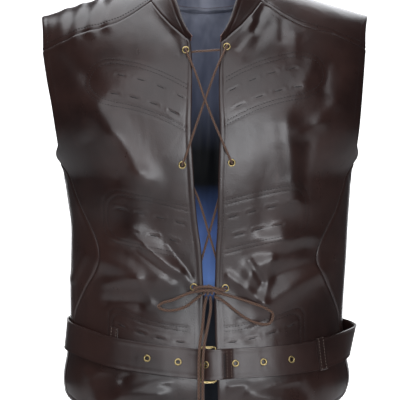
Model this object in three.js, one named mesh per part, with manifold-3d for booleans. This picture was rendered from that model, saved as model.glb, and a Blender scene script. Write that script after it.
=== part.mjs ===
// Lace-front costume vest: leather fronts, side panels, yokes, back and stand collar over a satin
// lining, laced through brass eyelets, with its own buckled belt.
//
// Frame: millimetres, +Z up. The origin lies between the two neck points of the shoulder line, where
// the wearer carries the vest. The front faces -Y. +X is the wearer's left.
//
// The garment is a shell round a hollow body form. Below the chest the form is a stack of horizontal
// sections; above it, each front-to-back slice is an arc over the shoulder line. Every leather wall,
// the lining, the belt and the lace take their places from that one form, moved out or in.

import * as THREE from "three";
import { mergeVertices } from "three/addons/utils/BufferGeometryUtils.js";
import Module from "manifold-3d";

const wasm = await Module();
wasm.setup();

// ---- driving dimensions (mm, degrees) ----

const LEATHER = 1.6; // wall of the outer pieces
const LINING = 1.0; // wall of the satin
const LINING_GAP = 1.9; // air between leather and satin
const SEAM_INSET = 0.2; // each piece stops this far short of the shared seam line
const LINING_MARGIN = 9; // satin stops this far inside the leather's free edges

const CHEST_Z = -180; // the sections end and the shoulder arcs start here
const ARMPIT_Z = -262; // below this the sections close at the sides
const SLEEVELESS_HALF = 232; // half width of the shoulder arcs, past the armhole edge
const SECTION_POWER = 2.4; // superellipse power of a horizontal section
const SHOULDER_ARC = 235; // length of rise from the chest level to the shoulder line
const SHOULDER_SLOPE = 0.3; // drop of the shoulder line for each mm outwards
const NECK_HALF = 76; // the neck point of the shoulder line
const NECK_ROUND = 30; // softens the shoulder line's crest at the middle of the back
const HEM_MEAN_Z = -575;
const HEM_SWING = 30; // the hem is this much lower at front and back, higher at the sides

// Horizontal sections. right and left are half widths, front and back are depths.
const SECTIONS = [
  { z: -640, right: 172, left: 166, front: 110, back: 112 },
  { z: -595, right: 178, left: 171, front: 115, back: 116 },
  { z: -560, right: 183, left: 179, front: 119, back: 118 },
  { z: -528, right: 190, left: 191, front: 121, back: 118 },
  { z: -490, right: 185, left: 186, front: 117, back: 111 },
  { z: -450, right: 181, left: 182, front: 113, back: 104 },
  { z: -405, right: 181, left: 184, front: 112, back: 100 },
  { z: -360, right: 180, left: 187, front: 115, back: 101 },
  { z: -320, right: 180, left: 189, front: 119, back: 105 },
  { z: -290, right: 184, left: 191, front: 123, back: 110 },
  { z: -262, right: 188, left: 193, front: 126, back: 115 },
  { z: -230, right: 192, left: 195, front: 128, back: 118 },
  { z: -180, right: 200, left: 200, front: 128, back: 119 },
];

// Distance of each front's free edge from the middle line.
const FRONT_EDGES = [
  { z: -620, right: 2, left: 17 },
  { z: -543, right: 2, left: 15 },
  { z: -479, right: 1.3, left: 12 },
  { z: -415, right: 2.5, left: 10.2 },
  { z: -396, right: 3.8, left: 10.8 },
  { z: -352, right: 6.4, left: 12.1 },
  { z: -320, right: 10.8, left: 14 },
  { z: -288, right: 14, left: 14.6 },
  { z: -237, right: 17.2, left: 15.9 },
  { z: -199, right: 19.1, left: 17.2 },
  { z: -160, right: 18.5, left: 15.9 },
  { z: -109, right: 18, left: 16.6 },
  { z: -84, right: 20.4, left: 18.6 },
];

// Distance of the armhole edges from the middle line.
const ARMHOLE_EDGES = [
  { z: -260, right: 188, left: 192 },
  { z: -238, right: 190.5, left: 194 },
  { z: -207, right: 194, left: 197.5 },
  { z: -166, right: 200.5, left: 201.5 },
  { z: -130, right: 208, left: 205 },
  { z: -85, right: 216, left: 210 },
  { z: -40, right: 221, left: 217.5 },
  { z: 10, right: 222, left: 219 },
];
const SHOULDER_TIP_Z = -42; // the shoulder line meets the armhole edge about here
const ARMHOLE_FOOT_Z = -238; // the fronts and back start their armhole edges at this height
const ARMHOLE_DIP = 19; // the side panel's top lies this much lower
const ARMHOLE_LEAD = 24; // rise over which the side seams lead into the armhole edges

// Side-panel seams as angles round the body form: 0 is the front middle, 90 the side.
const FRONT_SIDE_SEAM = [
  { z: -640, angle: 73 },
  { z: -450, angle: 73 },
  { z: -410, angle: 60 },
  { z: -371, angle: 47 },
  { z: -345, angle: 48 },
  { z: -300, angle: 60 },
  { z: -238, angle: 73 },
];
const BACK_SIDE_SEAM_ANGLE = 107;

// Top edge of a front: along the neckline, then the yoke seam out to the armhole.
const FRONT_TOP = [
  { x: 12, z: -91 },
  { x: 20, z: -84 },
  { x: 45, z: -62 },
  { x: 60, z: -45 },
  { x: 72, z: -28 },
  { x: 95, z: -45 },
  { x: 110, z: -54 },
  { x: 125, z: -61 },
  { x: 143, z: -66 },
  { x: 163, z: -70 },
  { x: 186, z: -80 },
  { x: 215, z: -91 },
];
const FRONT_YOKE_CORNER_X = 72;
// Top edge of the back: along the neckline, then the yoke's back seam.
const BACK_TOP = [
  { x: 0, z: -20 },
  { x: 30, z: -18.5 },
  { x: 50, z: -15 },
  { x: 68, z: -11 },
  { x: 140, z: -44 },
  { x: 216, z: -76 },
];
const BACK_YOKE_CORNER_X = 68;

// Soft folds, as ridges between two places (x, z) of the front or back, width and height of the ridge.
const FOLDS = [
  { face: "front", x0: -187, z0: -24, x1: -189, z1: -84, width: 8, height: 1.6 },
  { face: "front", x0: -165, z0: -18, x1: -170, z1: -78, width: 8, height: 2 },
  { face: "front", x0: -143, z0: -14, x1: -149, z1: -70, width: 8, height: 2 },
  { face: "front", x0: -121, z0: -8, x1: -127, z1: -62, width: 8, height: 1.7 },
  { face: "front", x0: 58, z0: -60, x1: 40, z1: -98, width: 9, height: 4 },
  { face: "front", x0: -134, z0: -166, x1: -78, z1: -262, width: 17, height: 4.5 },
  { face: "front", x0: 100, z0: -190, x1: 110, z1: -284, width: 15, height: 5 },
  { face: "front", x0: -92, z0: -330, x1: -40, z1: -388, width: 15, height: 5 },
  { face: "front", x0: -128, z0: -366, x1: -66, z1: -392, width: 16, height: 4.5 },
  { face: "front", x0: 98, z0: -340, x1: 44, z1: -398, width: 16, height: 5 },
  { face: "front", x0: 140, z0: -380, x1: 78, z1: -420, width: 15, height: 4.5 },
  { face: "front", x0: -128, z0: -548, x1: -62, z1: -534, width: 12, height: 5 },
  { face: "front", x0: 52, z0: -536, x1: 120, z1: -552, width: 13, height: 5 },
  { face: "back", x0: -120, z0: -384, x1: 96, z1: -398, width: 16, height: 5 },
  { face: "back", x0: -84, z0: -424, x1: 124, z1: -412, width: 14, height: 4.5 },
  { face: "back", x0: -150, z0: -250, x1: -96, z1: -330, width: 18, height: 5 },
  { face: "back", x0: 150, z0: -246, x1: 100, z1: -322, width: 18, height: 5 },
  { face: "back", x0: -70, z0: -540, x1: -92, z1: -590, width: 14, height: 4 },
  { face: "back", x0: 62, z0: -536, x1: 84, z1: -590, width: 14, height: 4 },
];
const FOLD_FREE_EDGE = 22; // no folds this near the front edges, where the eyelets sit
const FOLD_FADE = 26;

// Lace eyelets, in the order of the lace: x, z of each centre.
const LACE_EYELETS = [
  { name: "lace_eyelet_1", x: -16, z: -399 },
  { name: "lace_eyelet_2", x: 32.1, z: -240.2 },
  { name: "lace_eyelet_3", x: -26.3, z: -96.4 },
  { name: "lace_eyelet_4", x: 26.3, z: -92 },
  { name: "lace_eyelet_5", x: -30.6, z: -243 },
  { name: "lace_eyelet_6", x: 24.3, z: -400.3 },
];
const EYELET = { flange: 5.1, hole: 2.9, barrel: 3.4, rim: 0.7 };
const EYELET_LIP = 0.7; // the flange thins to its rim over this distance
const EYELET_CLEARANCE = 0.5;
const DRILL = { sides: 12, length: 16 }; // cuts the holes for the eyelets

// Belt
const BELT_WIDTH = 38;
const BELT_THICK = 2.4;
const BELT_REST = LEATHER + 2.3; // inner face of the strap over the body form
// Height of the belt's middle, by the angle round the form, on the wearer's right and left.
const BELT_LINE = [
  { angle: 0, right: -497, left: -497 },
  { angle: 30, right: -486, left: -492.5 },
  { angle: 60, right: -472, left: -483 },
  { angle: 90, right: -465, left: -471.5 },
  { angle: 135, right: -460, left: -462 },
  { angle: 180, right: -458, left: -458 },
];
const BELT_FOLD_GAP = 34; // no folds this far above and below the belt's middle
const FLARE = { angle: 84, spread: 15, top: 14, bottom: 1.5 }; // the strap stands off the left side
const SLIP_SPREAD = 7; // angle over which the strap passes the loop that lies behind it
const BELT_EYELETS = [
  { name: "belt_eyelet_1", x: -75.5 },
  { name: "belt_eyelet_2", x: -36 },
  { name: "belt_eyelet_3", x: -0.5 },
  { name: "belt_eyelet_4", x: 37 },
  { name: "belt_eyelet_5", x: 73 },
  { name: "belt_eyelet_6", x: 109 },
];
const BELT_EYELET = { flange: 4.7, hole: 2.5, barrel: 3, rim: 0.6 };
const BUCKLE = { heel: 12, far: -8, bar: 1.6, halfHeight: 21.5, corner: 2.6 };
const PRONG_RADIUS = 1;
const LOOP = { width: 12, thick: 1.4, bend: 1.2, gap: 6, air: 0.4 };
const RIGHT_LOOP_X = -121; // this loop has slipped behind the belt
const LEFT_LOOP_X = 147;

// Lace
const LACE_DIAMETER = 3;
const BOW_DIAMETER = 3.6;
const LACE_SIDES = 8;
const KNOT = { x: 2.5, z: -402, out: 10, halfWidth: 8.5, halfHeight: 6.9, halfDepth: 4.8 };
const TIP = { radius: 2.2, length: 16 };

// ---- colours ----

const LEATHER_LOOK = { color: 0x3a2a27, roughness: 0.38, metalness: 0 };
const SATIN_LOOK = { color: 0x3d5a8c, roughness: 0.35, metalness: 0 };
const BRASS_LOOK = { color: 0xb39a62, roughness: 0.35, metalness: 1 };
const LACE_LOOK = { color: 0x7a4f33, roughness: 0.8, metalness: 0 };

// ---- small helpers ----

const mix = (a, b, t) => a + (b - a) * t;
const clamp = (v, lo = 0, hi = 1) => Math.min(hi, Math.max(lo, v));
const smooth = (t) => {
  const c = clamp(t);
  return c * c * (3 - 2 * c);
};
const radians = THREE.MathUtils.degToRad;
const degrees = THREE.MathUtils.radToDeg;
const range = (count) => Array.from({ length: count }, (_, i) => i);

// Reads a column of a table, smoothly, at a value of its key column. Rows rise in the key.
function read(rows, key, column, at) {
  const last = rows.length - 1;
  if (at <= rows[0][key]) return rows[0][column];
  if (at >= rows[last][key]) return rows[last][column];
  let i = 0;
  while (rows[i + 1][key] < at) i++;
  const slope = (k) => {
    const a = rows[Math.max(0, k - 1)];
    const b = rows[Math.min(last, k + 1)];
    return (b[column] - a[column]) / (b[key] - a[key]);
  };
  const span = rows[i + 1][key] - rows[i][key];
  const t = (at - rows[i][key]) / span;
  const [p, q] = [rows[i][column], rows[i + 1][column]];
  const [m, n] = [slope(i) * span, slope(i + 1) * span];
  const [t2, t3] = [t * t, t * t * t];
  return (2 * t3 - 3 * t2 + 1) * p + (t3 - 2 * t2 + t) * m + (3 * t2 - 2 * t3) * q + (t3 - t2) * n;
}

// Reads a column with straight lines between the rows.
function readStraight(rows, key, column, at) {
  const next = rows.findIndex((row) => row[key] >= at);
  const i = next < 0 ? rows.length - 1 : Math.max(1, next);
  const [a, b] = [rows[i - 1], rows[i]];
  return mix(a[column], b[column], clamp((at - a[key]) / (b[key] - a[key])));
}

// ---- the body form ----

const sideName = (sign) => (sign < 0 ? "right" : "left");

// Half width of the section at height z, on the side of sign.
function halfWidth(z, sign) {
  const closed = read(SECTIONS, "z", sideName(sign), z);
  const open = smooth((z - ARMPIT_Z) / (CHEST_Z - ARMPIT_Z));
  return mix(closed, SLEEVELESS_HALF, open);
}

// Sideways distance as a share of the half width, for an angle round the section, and back again.
const shareOf = (angle) => Math.abs(Math.sin(radians(angle))) ** (2 / SECTION_POWER);
const angleOfShare = (share) => degrees(Math.asin(clamp(share) ** (SECTION_POWER / 2)));

// Angle round the front of the form at which the section at height z reaches x.
function frontAngle(x, z) {
  return Math.sign(x) * angleOfShare(Math.abs(x) / halfWidth(z, x));
}

function depthShare(angle) {
  return Math.abs(Math.cos(radians(angle))) ** (2 / SECTION_POWER);
}

function shoulderZ(x) {
  const round = (v) => Math.hypot(v, NECK_ROUND);
  return -SHOULDER_SLOPE * (round(x) - round(NECK_HALF));
}

// A point of the form. angle is -180 to 180, 0 at the front middle and positive to the wearer's left.
// rise is the height over the chest level where it is negative, and past it the way along the
// shoulder arc, up to SHOULDER_ARC at the shoulder line.
function formPoint(angle, rise) {
  const sign = Math.sin(radians(angle)) < 0 ? -1 : 1;
  const isFront = Math.cos(radians(angle)) > 0;
  const z = CHEST_Z + Math.min(rise, 0);
  const x = sign * halfWidth(z, sign) * shareOf(angle);
  const depth = read(SECTIONS, "z", isFront ? "front" : "back", z) * depthShare(angle);
  const turn = (Math.max(rise, 0) / SHOULDER_ARC) * (Math.PI / 2);
  const y = (isFront ? -depth : depth) * Math.cos(turn);
  return new THREE.Vector3(x, y, z + (shoulderZ(x) - CHEST_Z) * Math.sin(turn));
}

// The rise at which the form reaches height z, at a sideways place x.
function riseAt(x, z) {
  if (z <= CHEST_Z) return z - CHEST_Z;
  const share = clamp((z - CHEST_Z) / (shoulderZ(x) - CHEST_Z));
  return (Math.asin(share) / (Math.PI / 2)) * SHOULDER_ARC;
}

// Outward normal of the form, by differences. Past the shoulder line the back arc is followed.
function formNormal(angle, rise) {
  const step = 0.4;
  const across = formPoint(angle + step, rise).sub(formPoint(angle - step, rise));
  const up = formPoint(angle, rise + step).sub(formPoint(angle, rise - step));
  if (rise > SHOULDER_ARC - step) return new THREE.Vector3(0, 0, 1);
  return across.cross(up).normalize();
}

// Height of the folds at a point of the form.
function foldHeight(point, angle) {
  const face = Math.cos(radians(angle)) > 0 ? "front" : "back";
  let height = 0;
  for (const fold of FOLDS.filter((f) => f.face === face)) {
    const [dx, dz] = [fold.x1 - fold.x0, fold.z1 - fold.z0];
    const along = ((point.x - fold.x0) * dx + (point.z - fold.z0) * dz) / (dx * dx + dz * dz);
    const off = Math.hypot(
      point.x - mix(fold.x0, fold.x1, clamp(along)),
      point.z - mix(fold.z0, fold.z1, clamp(along)),
    );
    height += fold.height * Math.exp(-((off / fold.width) ** 2));
  }
  const edge = read(FRONT_EDGES, "z", sideName(point.x), point.z);
  const fromEdge = face === "front" ? Math.abs(point.x) - edge : Infinity;
  const fromBelt = Math.abs(point.z - beltZ(angle));
  return (
    height *
    smooth((fromEdge - FOLD_FREE_EDGE) / FOLD_FADE) *
    smooth((fromBelt - BELT_FOLD_GAP) / FOLD_FADE + 0.5)
  );
}

function beltZ(angle) {
  return read(BELT_LINE, "angle", sideName(angle), Math.abs(angle));
}

// A place on the form with its normal and its folds.
function place(angle, rise) {
  const point = formPoint(angle, rise);
  return { point, normal: formNormal(angle, rise), fold: foldHeight(point, angle) };
}

const moved = ({ point, normal }, out) => point.clone().addScaledVector(normal, out);

// A place on the front, by its x and z, moved out from the form.
function frontPoint(x, z, out) {
  return moved(place(frontAngle(x, z), riseAt(x, z)), out);
}

// ---- walls ----

// A closed wall from a grid of { inner, outer } points, rows of equal length.
function wallGeometry(grid) {
  const [rows, columns] = [grid.length, grid[0].length];
  const positions = [];
  for (const side of ["outer", "inner"])
    for (const row of grid) for (const cell of row) positions.push(...cell[side].toArray());
  const index = [];
  const at = (side, i, j) => side * rows * columns + i * columns + j;
  const quad = (a, b, c, d) => index.push(a, b, c, a, c, d);
  for (const i of range(rows - 1))
    for (const j of range(columns - 1)) {
      quad(at(0, i, j), at(0, i, j + 1), at(0, i + 1, j + 1), at(0, i + 1, j));
      quad(at(1, i, j), at(1, i + 1, j), at(1, i + 1, j + 1), at(1, i, j + 1));
    }
  for (const j of range(columns - 1)) {
    quad(at(0, 0, j), at(1, 0, j), at(1, 0, j + 1), at(0, 0, j + 1));
    quad(at(0, rows - 1, j), at(0, rows - 1, j + 1), at(1, rows - 1, j + 1), at(1, rows - 1, j));
  }
  for (const i of range(rows - 1)) {
    quad(at(0, i, 0), at(0, i + 1, 0), at(1, i + 1, 0), at(1, i, 0));
    const j = columns - 1;
    quad(at(0, i, j), at(1, i, j), at(1, i + 1, j), at(0, i + 1, j));
  }
  const geometry = new THREE.BufferGeometry();
  geometry.setAttribute("position", new THREE.Float32BufferAttribute(positions, 3));
  geometry.setIndex(index);
  return facedOut(geometry);
}

// Turns a closed geometry's faces outwards, whichever way its grid ran.
function facedOut(geometry) {
  const position = geometry.getAttribute("position");
  const index = geometry.index.array;
  const corner = (k) => new THREE.Vector3().fromBufferAttribute(position, index[k]);
  let volume = 0;
  for (let k = 0; k < index.length; k += 3)
    volume += corner(k).dot(corner(k + 1).cross(corner(k + 2)));
  if (volume < 0)
    for (let k = 0; k < index.length; k += 3)
      [index[k + 1], index[k + 2]] = [index[k + 2], index[k + 1]];
  return geometry;
}

// Draws the border of a grid of places in from the shared seam lines.
function insetBorder(grid, inset) {
  const [rows, columns] = [grid.length, grid[0].length];
  const source = grid.map((row) => row.map((cell) => cell.point.clone()));
  const pull = (i, j, toRow, toColumn) => {
    const way = source[toRow][toColumn].clone().sub(source[i][j]).setLength(inset);
    grid[i][j].point.add(way);
  };
  for (const j of range(columns)) {
    pull(0, j, 1, j);
    pull(rows - 1, j, rows - 2, j);
  }
  for (const i of range(rows)) {
    pull(i, 0, i, 1);
    pull(i, columns - 1, i, columns - 2);
  }
}

// The wall of a grid of places, between two distances from the form.
function sewnWall(grid, from, to, inset = SEAM_INSET, followsFolds = true) {
  insetBorder(grid, inset);
  return wallGeometry(
    grid.map((row) =>
      row.map((cell) => {
        const fold = followsFolds ? cell.fold : 0;
        return { inner: moved(cell, fold + from), outer: moved(cell, fold + to) };
      }),
    ),
  );
}

// ---- manifold cuts ----

function toSolid(geometry) {
  const bare = new THREE.BufferGeometry();
  bare.setAttribute("position", geometry.getAttribute("position"));
  if (geometry.index) bare.setIndex(geometry.index);
  const merged = mergeVertices(bare, 1e-4);
  return new wasm.Manifold(
    new wasm.Mesh({
      numProp: 3,
      vertProperties: new Float32Array(merged.getAttribute("position").array),
      triVerts: new Uint32Array(merged.index.array),
    }),
  );
}

function toGeometry(solid) {
  const mesh = solid.getMesh();
  const geometry = new THREE.BufferGeometry();
  geometry.setAttribute("position", new THREE.BufferAttribute(mesh.vertProperties, 3));
  geometry.setIndex(new THREE.BufferAttribute(mesh.triVerts, 1));
  return geometry;
}

// Cuts round holes through a wall. Each hole has a centre, an axis and a radius.
function drilled(geometry, holes) {
  let solid = toSolid(geometry);
  for (const hole of holes) {
    const drill = new THREE.CylinderGeometry(hole.radius, hole.radius, hole.length, DRILL.sides);
    orient(drill, hole.centre, hole.axis);
    solid = solid.subtract(toSolid(drill));
  }
  return toGeometry(solid);
}

// Turns a geometry made round +Y to an axis, and moves it to its centre.
function orient(geometry, centre, axis) {
  const turn = new THREE.Quaternion().setFromUnitVectors(new THREE.Vector3(0, 1, 0), axis);
  geometry.applyQuaternion(turn);
  geometry.translate(...centre.toArray());
  return geometry;
}

// ---- leather pieces ----

const LOW_ROWS = 15; // rows from the hem to the armhole foot
const HIGH_ROWS = 8; // rows from there to the top edge
const NECK_COLUMNS = 5; // columns of a front under the neckline
const YOKE_COLUMNS = 8; // columns of a front or back under the yoke
const BACK_NECK_COLUMNS = 3; // columns of the back from its middle to the yoke
const SIDE_COLUMNS = 5;
const YOKE_ROWS = 8;
const SETTLE_STEPS = 8; // rounds in which a place on a border settles

const hemZ = (angle) => HEM_MEAN_Z - HEM_SWING * Math.cos(radians(2 * angle));

function armholeAngle(z, sign) {
  const x = read(ARMHOLE_EDGES, "z", sideName(sign), z);
  return angleOfShare(x / halfWidth(z, sign));
}

// Outer border of a front at height z: the side-panel seam, then the armhole edge.
function frontOuterAngle(z, sign) {
  const seamAngle = read(FRONT_SIDE_SEAM, "z", "angle", z);
  return z < ARMHOLE_FOOT_Z ? seamAngle : armholeBlend(z, sign, seamAngle);
}

function backOuterAngle(z, sign) {
  if (z < ARMHOLE_FOOT_Z) return BACK_SIDE_SEAM_ANGLE;
  return 180 - armholeBlend(z, sign, 180 - BACK_SIDE_SEAM_ANGLE);
}

// The armhole edge, led in from the angle of its foot over the first stretch.
function armholeBlend(z, sign, footAngle) {
  const share = smooth((z - ARMHOLE_FOOT_Z) / ARMHOLE_LEAD);
  return mix(footAngle, armholeAngle(z, sign), share);
}

function frontInnerAngle(z, sign) {
  const x = read(FRONT_EDGES, "z", sideName(sign), z);
  return angleOfShare(x / halfWidth(z, sign));
}

// Sideways places of the top edges, shared by the fronts, the back and the yokes.
function topPlaces(start, corner, end, cornerCount, endCount) {
  const inner = range(cornerCount).map((k) => mix(start, corner, k / cornerCount));
  const outer = range(endCount + 1).map((k) => mix(corner, end, k / endCount));
  return [...inner, ...outer];
}

// Where a top edge meets a side edge: x is settled in a few steps from a first guess.
function meetingX(topRows, edgeRows, sign, guess) {
  let x = guess;
  for (const _ of range(SETTLE_STEPS)) {
    const z = readStraight(topRows, "x", "z", x);
    x = read(edgeRows, "z", sideName(sign), z);
  }
  return x;
}

const seamEndX = (rows, sign) => meetingX(rows, ARMHOLE_EDGES, sign, SLEEVELESS_HALF);
const seamStartX = (sign) => meetingX(FRONT_TOP, FRONT_EDGES, sign, FRONT_TOP[0].x);

// A panel that runs from the hem to a top edge. innerAngle and outerAngle give its side borders at a
// height, tops its top points, and innerMost the border nearest the middle line.
function panelGrid({ sign, innerAngle, outerAngle, tops, topRows, isBack }) {
  const last = tops.length - 1;
  const heightOf = (angle, rise) => formPoint(sign * angle, rise).z;
  const shareAt = (x, z) => {
    const share = angleOfShare(Math.abs(x) / halfWidth(z, sign));
    const angle = isBack ? 180 - share : share;
    return (angle - innerAngle(z)) / (outerAngle(z) - innerAngle(z));
  };
  const columns = tops.map((x, k) => {
    const z = readStraight(topRows, "x", "z", x);
    return { hemShare: k / last, topShare: clamp(shareAt(x, z)), topRise: riseAt(x, z) };
  });
  const footRise = ARMHOLE_FOOT_Z - CHEST_Z;
  const cell = (column, rise, share) => {
    let angle = innerAngle(CHEST_Z + Math.min(rise, 0));
    for (const _ of range(SETTLE_STEPS)) {
      const z = heightOf(angle, rise);
      angle = mix(innerAngle(z), outerAngle(z), share);
    }
    return place(sign * angle, rise);
  };
  const grid = [];
  for (const i of range(LOW_ROWS + HIGH_ROWS + 1)) {
    const v = smooth(i / (LOW_ROWS + HIGH_ROWS));
    grid.push(
      columns.map((column) => {
        const share = mix(column.hemShare, column.topShare, v);
        const hemAngle = mix(innerAngle(HEM_MEAN_Z), outerAngle(HEM_MEAN_Z), share);
        const hemRise = hemZ(hemAngle) - CHEST_Z;
        const rise =
          i <= LOW_ROWS
            ? mix(hemRise, footRise, i / LOW_ROWS)
            : mix(footRise, column.topRise, (i - LOW_ROWS) / HIGH_ROWS);
        return cell(column, rise, share);
      }),
    );
  }
  return grid;
}

function frontGrid(sign) {
  const [start, end] = [seamStartX(sign), seamEndX(FRONT_TOP, sign)];
  return panelGrid({
    sign,
    innerAngle: (z) => frontInnerAngle(z, sign),
    outerAngle: (z) => frontOuterAngle(z, sign),
    tops: topPlaces(start, FRONT_YOKE_CORNER_X, end, NECK_COLUMNS, YOKE_COLUMNS),
    topRows: FRONT_TOP,
    isBack: false,
  });
}

function backHalfGrid(sign) {
  const end = seamEndX(BACK_TOP, sign);
  return panelGrid({
    sign,
    innerAngle: () => 180,
    outerAngle: (z) => backOuterAngle(z, sign),
    tops: topPlaces(0, BACK_YOKE_CORNER_X, end, BACK_NECK_COLUMNS, YOKE_COLUMNS),
    topRows: BACK_TOP,
    isBack: true,
  });
}

// The back is one piece: both halves joined at the middle line.
function backGrid() {
  const [right, left] = [backHalfGrid(-1), backHalfGrid(1)];
  return right.map((row, i) => [...row.slice(1).reverse(), ...left[i]]);
}

function sideGrid(sign) {
  const sideAngle = (z, share) =>
    mix(read(FRONT_SIDE_SEAM, "z", "angle", z), BACK_SIDE_SEAM_ANGLE, share);
  return range(LOW_ROWS + 1).map((i) =>
    range(SIDE_COLUMNS + 1).map((j) => {
      const share = j / SIDE_COLUMNS;
      const top = ARMHOLE_FOOT_Z - ARMHOLE_DIP * sideDip(share);
      const z = mix(hemZ(sideAngle(HEM_MEAN_Z, share)), top, i / LOW_ROWS);
      return place(sign * sideAngle(z, share), z - CHEST_Z);
    }),
  );
}

const sideDip = (share) => 1 - (2 * share - 1) ** 2;

// The yoke runs over the shoulder, from its front seam to its back seam. rows go along the shoulder.
function yokeGrid(sign) {
  const fronts = topPlaces(0, FRONT_YOKE_CORNER_X, seamEndX(FRONT_TOP, sign), 0, YOKE_COLUMNS);
  const backs = topPlaces(0, BACK_YOKE_CORNER_X, seamEndX(BACK_TOP, sign), 0, YOKE_COLUMNS);
  const shoulderEnd = read(ARMHOLE_EDGES, "z", sideName(sign), SHOULDER_TIP_Z);
  const crest = topPlaces(0, NECK_HALF, shoulderEnd, 0, YOKE_COLUMNS);
  return range(YOKE_COLUMNS + 1).map((k) =>
    range(YOKE_ROWS + 1).map((i) => {
      const start = riseAt(fronts[k], readStraight(FRONT_TOP, "x", "z", fronts[k]));
      const end = riseAt(backs[k], readStraight(BACK_TOP, "x", "z", backs[k]));
      const way = mix(start, 2 * SHOULDER_ARC - end, i / YOKE_ROWS);
      const isFront = way <= SHOULDER_ARC;
      const toCrest = isFront
        ? (way - start) / (SHOULDER_ARC - start)
        : (2 * SHOULDER_ARC - end - way) / (SHOULDER_ARC - end);
      const x = mix(isFront ? fronts[k] : backs[k], crest[k], smooth(toCrest));
      const angle = angleOfShare(x / SLEEVELESS_HALF);
      const rise = isFront ? way : 2 * SHOULDER_ARC - way;
      return place(sign * (isFront ? angle : 180 - angle), rise);
    }),
  );
}

// ---- collar ----

// The collar's free edge, from the front corner to the middle of the back. along is the share of the
// neckline's length.
const COLLAR_EDGE = [
  { along: 0, x: 18.8, y: -116, z: -78 },
  { along: 0.1, x: 24, y: -110, z: -68 },
  { along: 0.2, x: 31, y: -101, z: -52 },
  { along: 0.3, x: 38, y: -88, z: -30 },
  { along: 0.4, x: 47, y: -66, z: -3 },
  { along: 0.58, x: 59, y: -22, z: 30 },
  { along: 0.74, x: 60, y: 22, z: 41 },
  { along: 0.87, x: 38, y: 50, z: 40 },
  { along: 1, x: 0, y: 61, z: 37 },
];
const COLLAR_ROWS = 3;
const COLLAR_LIFT = 1; // the collar's foot stands this far off the neckline

// The neckline from the front corner to the middle of the back, through the panels' own points.
function neckline(sign) {
  const points = (cells) => cells.map((cell) => cell.point);
  const front = points(frontGrid(sign).at(-1).slice(0, NECK_COLUMNS + 1));
  const crest = points(yokeGrid(sign)[0].slice(1));
  const back = points(backHalfGrid(sign).at(-1).slice(0, BACK_NECK_COLUMNS).reverse());
  return [...front, ...crest, ...back];
}

// Foot and free edge of one half of the collar.
function collarHalf(sign) {
  const foot = neckline(sign);
  const steps = foot.map((point, k) => (k ? point.distanceTo(foot[k - 1]) : 0));
  const total = steps.reduce((sum, step) => sum + step, 0);
  let gone = 0;
  return foot.map((point, k) => {
    gone += steps[k];
    const value = (column) => read(COLLAR_EDGE, "along", column, gone / total);
    return { foot: point, edge: new THREE.Vector3(sign * value("x"), value("y"), value("z")) };
  });
}

function collarGrid() {
  const posts = [...collarHalf(-1), ...collarHalf(1).reverse().slice(1)];
  return range(COLLAR_ROWS + 1).map((i) =>
    posts.map(({ foot, edge }, k) => {
      const up = edge.clone().sub(foot);
      const before = posts[Math.max(0, k - 1)].foot;
      const after = posts[Math.min(posts.length - 1, k + 1)].foot;
      const normal = after.clone().sub(before).cross(up).normalize();
      const start = foot.clone().addScaledVector(up.normalize(), COLLAR_LIFT);
      return { point: start.lerp(edge, i / COLLAR_ROWS), normal, fold: 0 };
    }),
  );
}

// ---- lining ----

// The satin takes every second row and column of the leather pieces' grids, without their folds.
function thinned(grid) {
  const keep = (list) => list.filter((_, i) => i % 2 === 0 || i === list.length - 1);
  return keep(grid).map(keep);
}

function liningGeometry(grid) {
  const outside = -LINING_GAP;
  return sewnWall(grid, outside - LINING, outside, LINING_MARGIN, false);
}

// ---- eyelets ----

const EYELET_SIDES = 10;

// A closed profile of an eyelet: a front flange, a barrel through the wall and a turned back rim.
function eyeletGeometry({ flange, hole, barrel, rim }, front, back) {
  const profile = [
    [hole, back - rim],
    [flange - EYELET_LIP, back - rim],
    [flange - EYELET_LIP, back],
    [barrel, back],
    [barrel, front],
    [flange, front],
    [flange - EYELET_LIP, front + rim],
    [hole, front + rim],
    [hole, back - rim],
  ].map(([r, h]) => new THREE.Vector2(r, h));
  return new THREE.LatheGeometry(profile, EYELET_SIDES);
}

function laceEyeletPlace(eyelet) {
  return place(frontAngle(eyelet.x, eyelet.z), riseAt(eyelet.x, eyelet.z));
}

// ---- tubes ----

function tubeGeometry(points, diameter, steps) {
  const outline = new THREE.Shape(
    range(LACE_SIDES).map((k) => {
      const turn = (2 * Math.PI * (k + 0.5)) / LACE_SIDES;
      return new THREE.Vector2(Math.cos(turn), Math.sin(turn)).multiplyScalar(diameter / 2);
    }),
  );
  const path = new THREE.CatmullRomCurve3(points, false, "centripetal");
  return new THREE.ExtrudeGeometry(outline, { steps, extrudePath: path });
}

// Route of a cord as rows of x, z and the distance out from the form.
const routePoints = (route) => route.map(([x, z, out]) => frontPoint(x, z, out));

// ---- lace routes: x, z, out ----

const eyeletAt = Object.fromEntries(LACE_EYELETS.map((e) => [e.name.slice(-1), e]));
const through = (number, outs) => outs.map((out) => [eyeletAt[number].x, eyeletAt[number].z, out]);
const FRONT_TO_BACK = [6.4, 2, -3.6, -8];
const BACK_TO_FRONT = FRONT_TO_BACK.toReversed();

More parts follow.
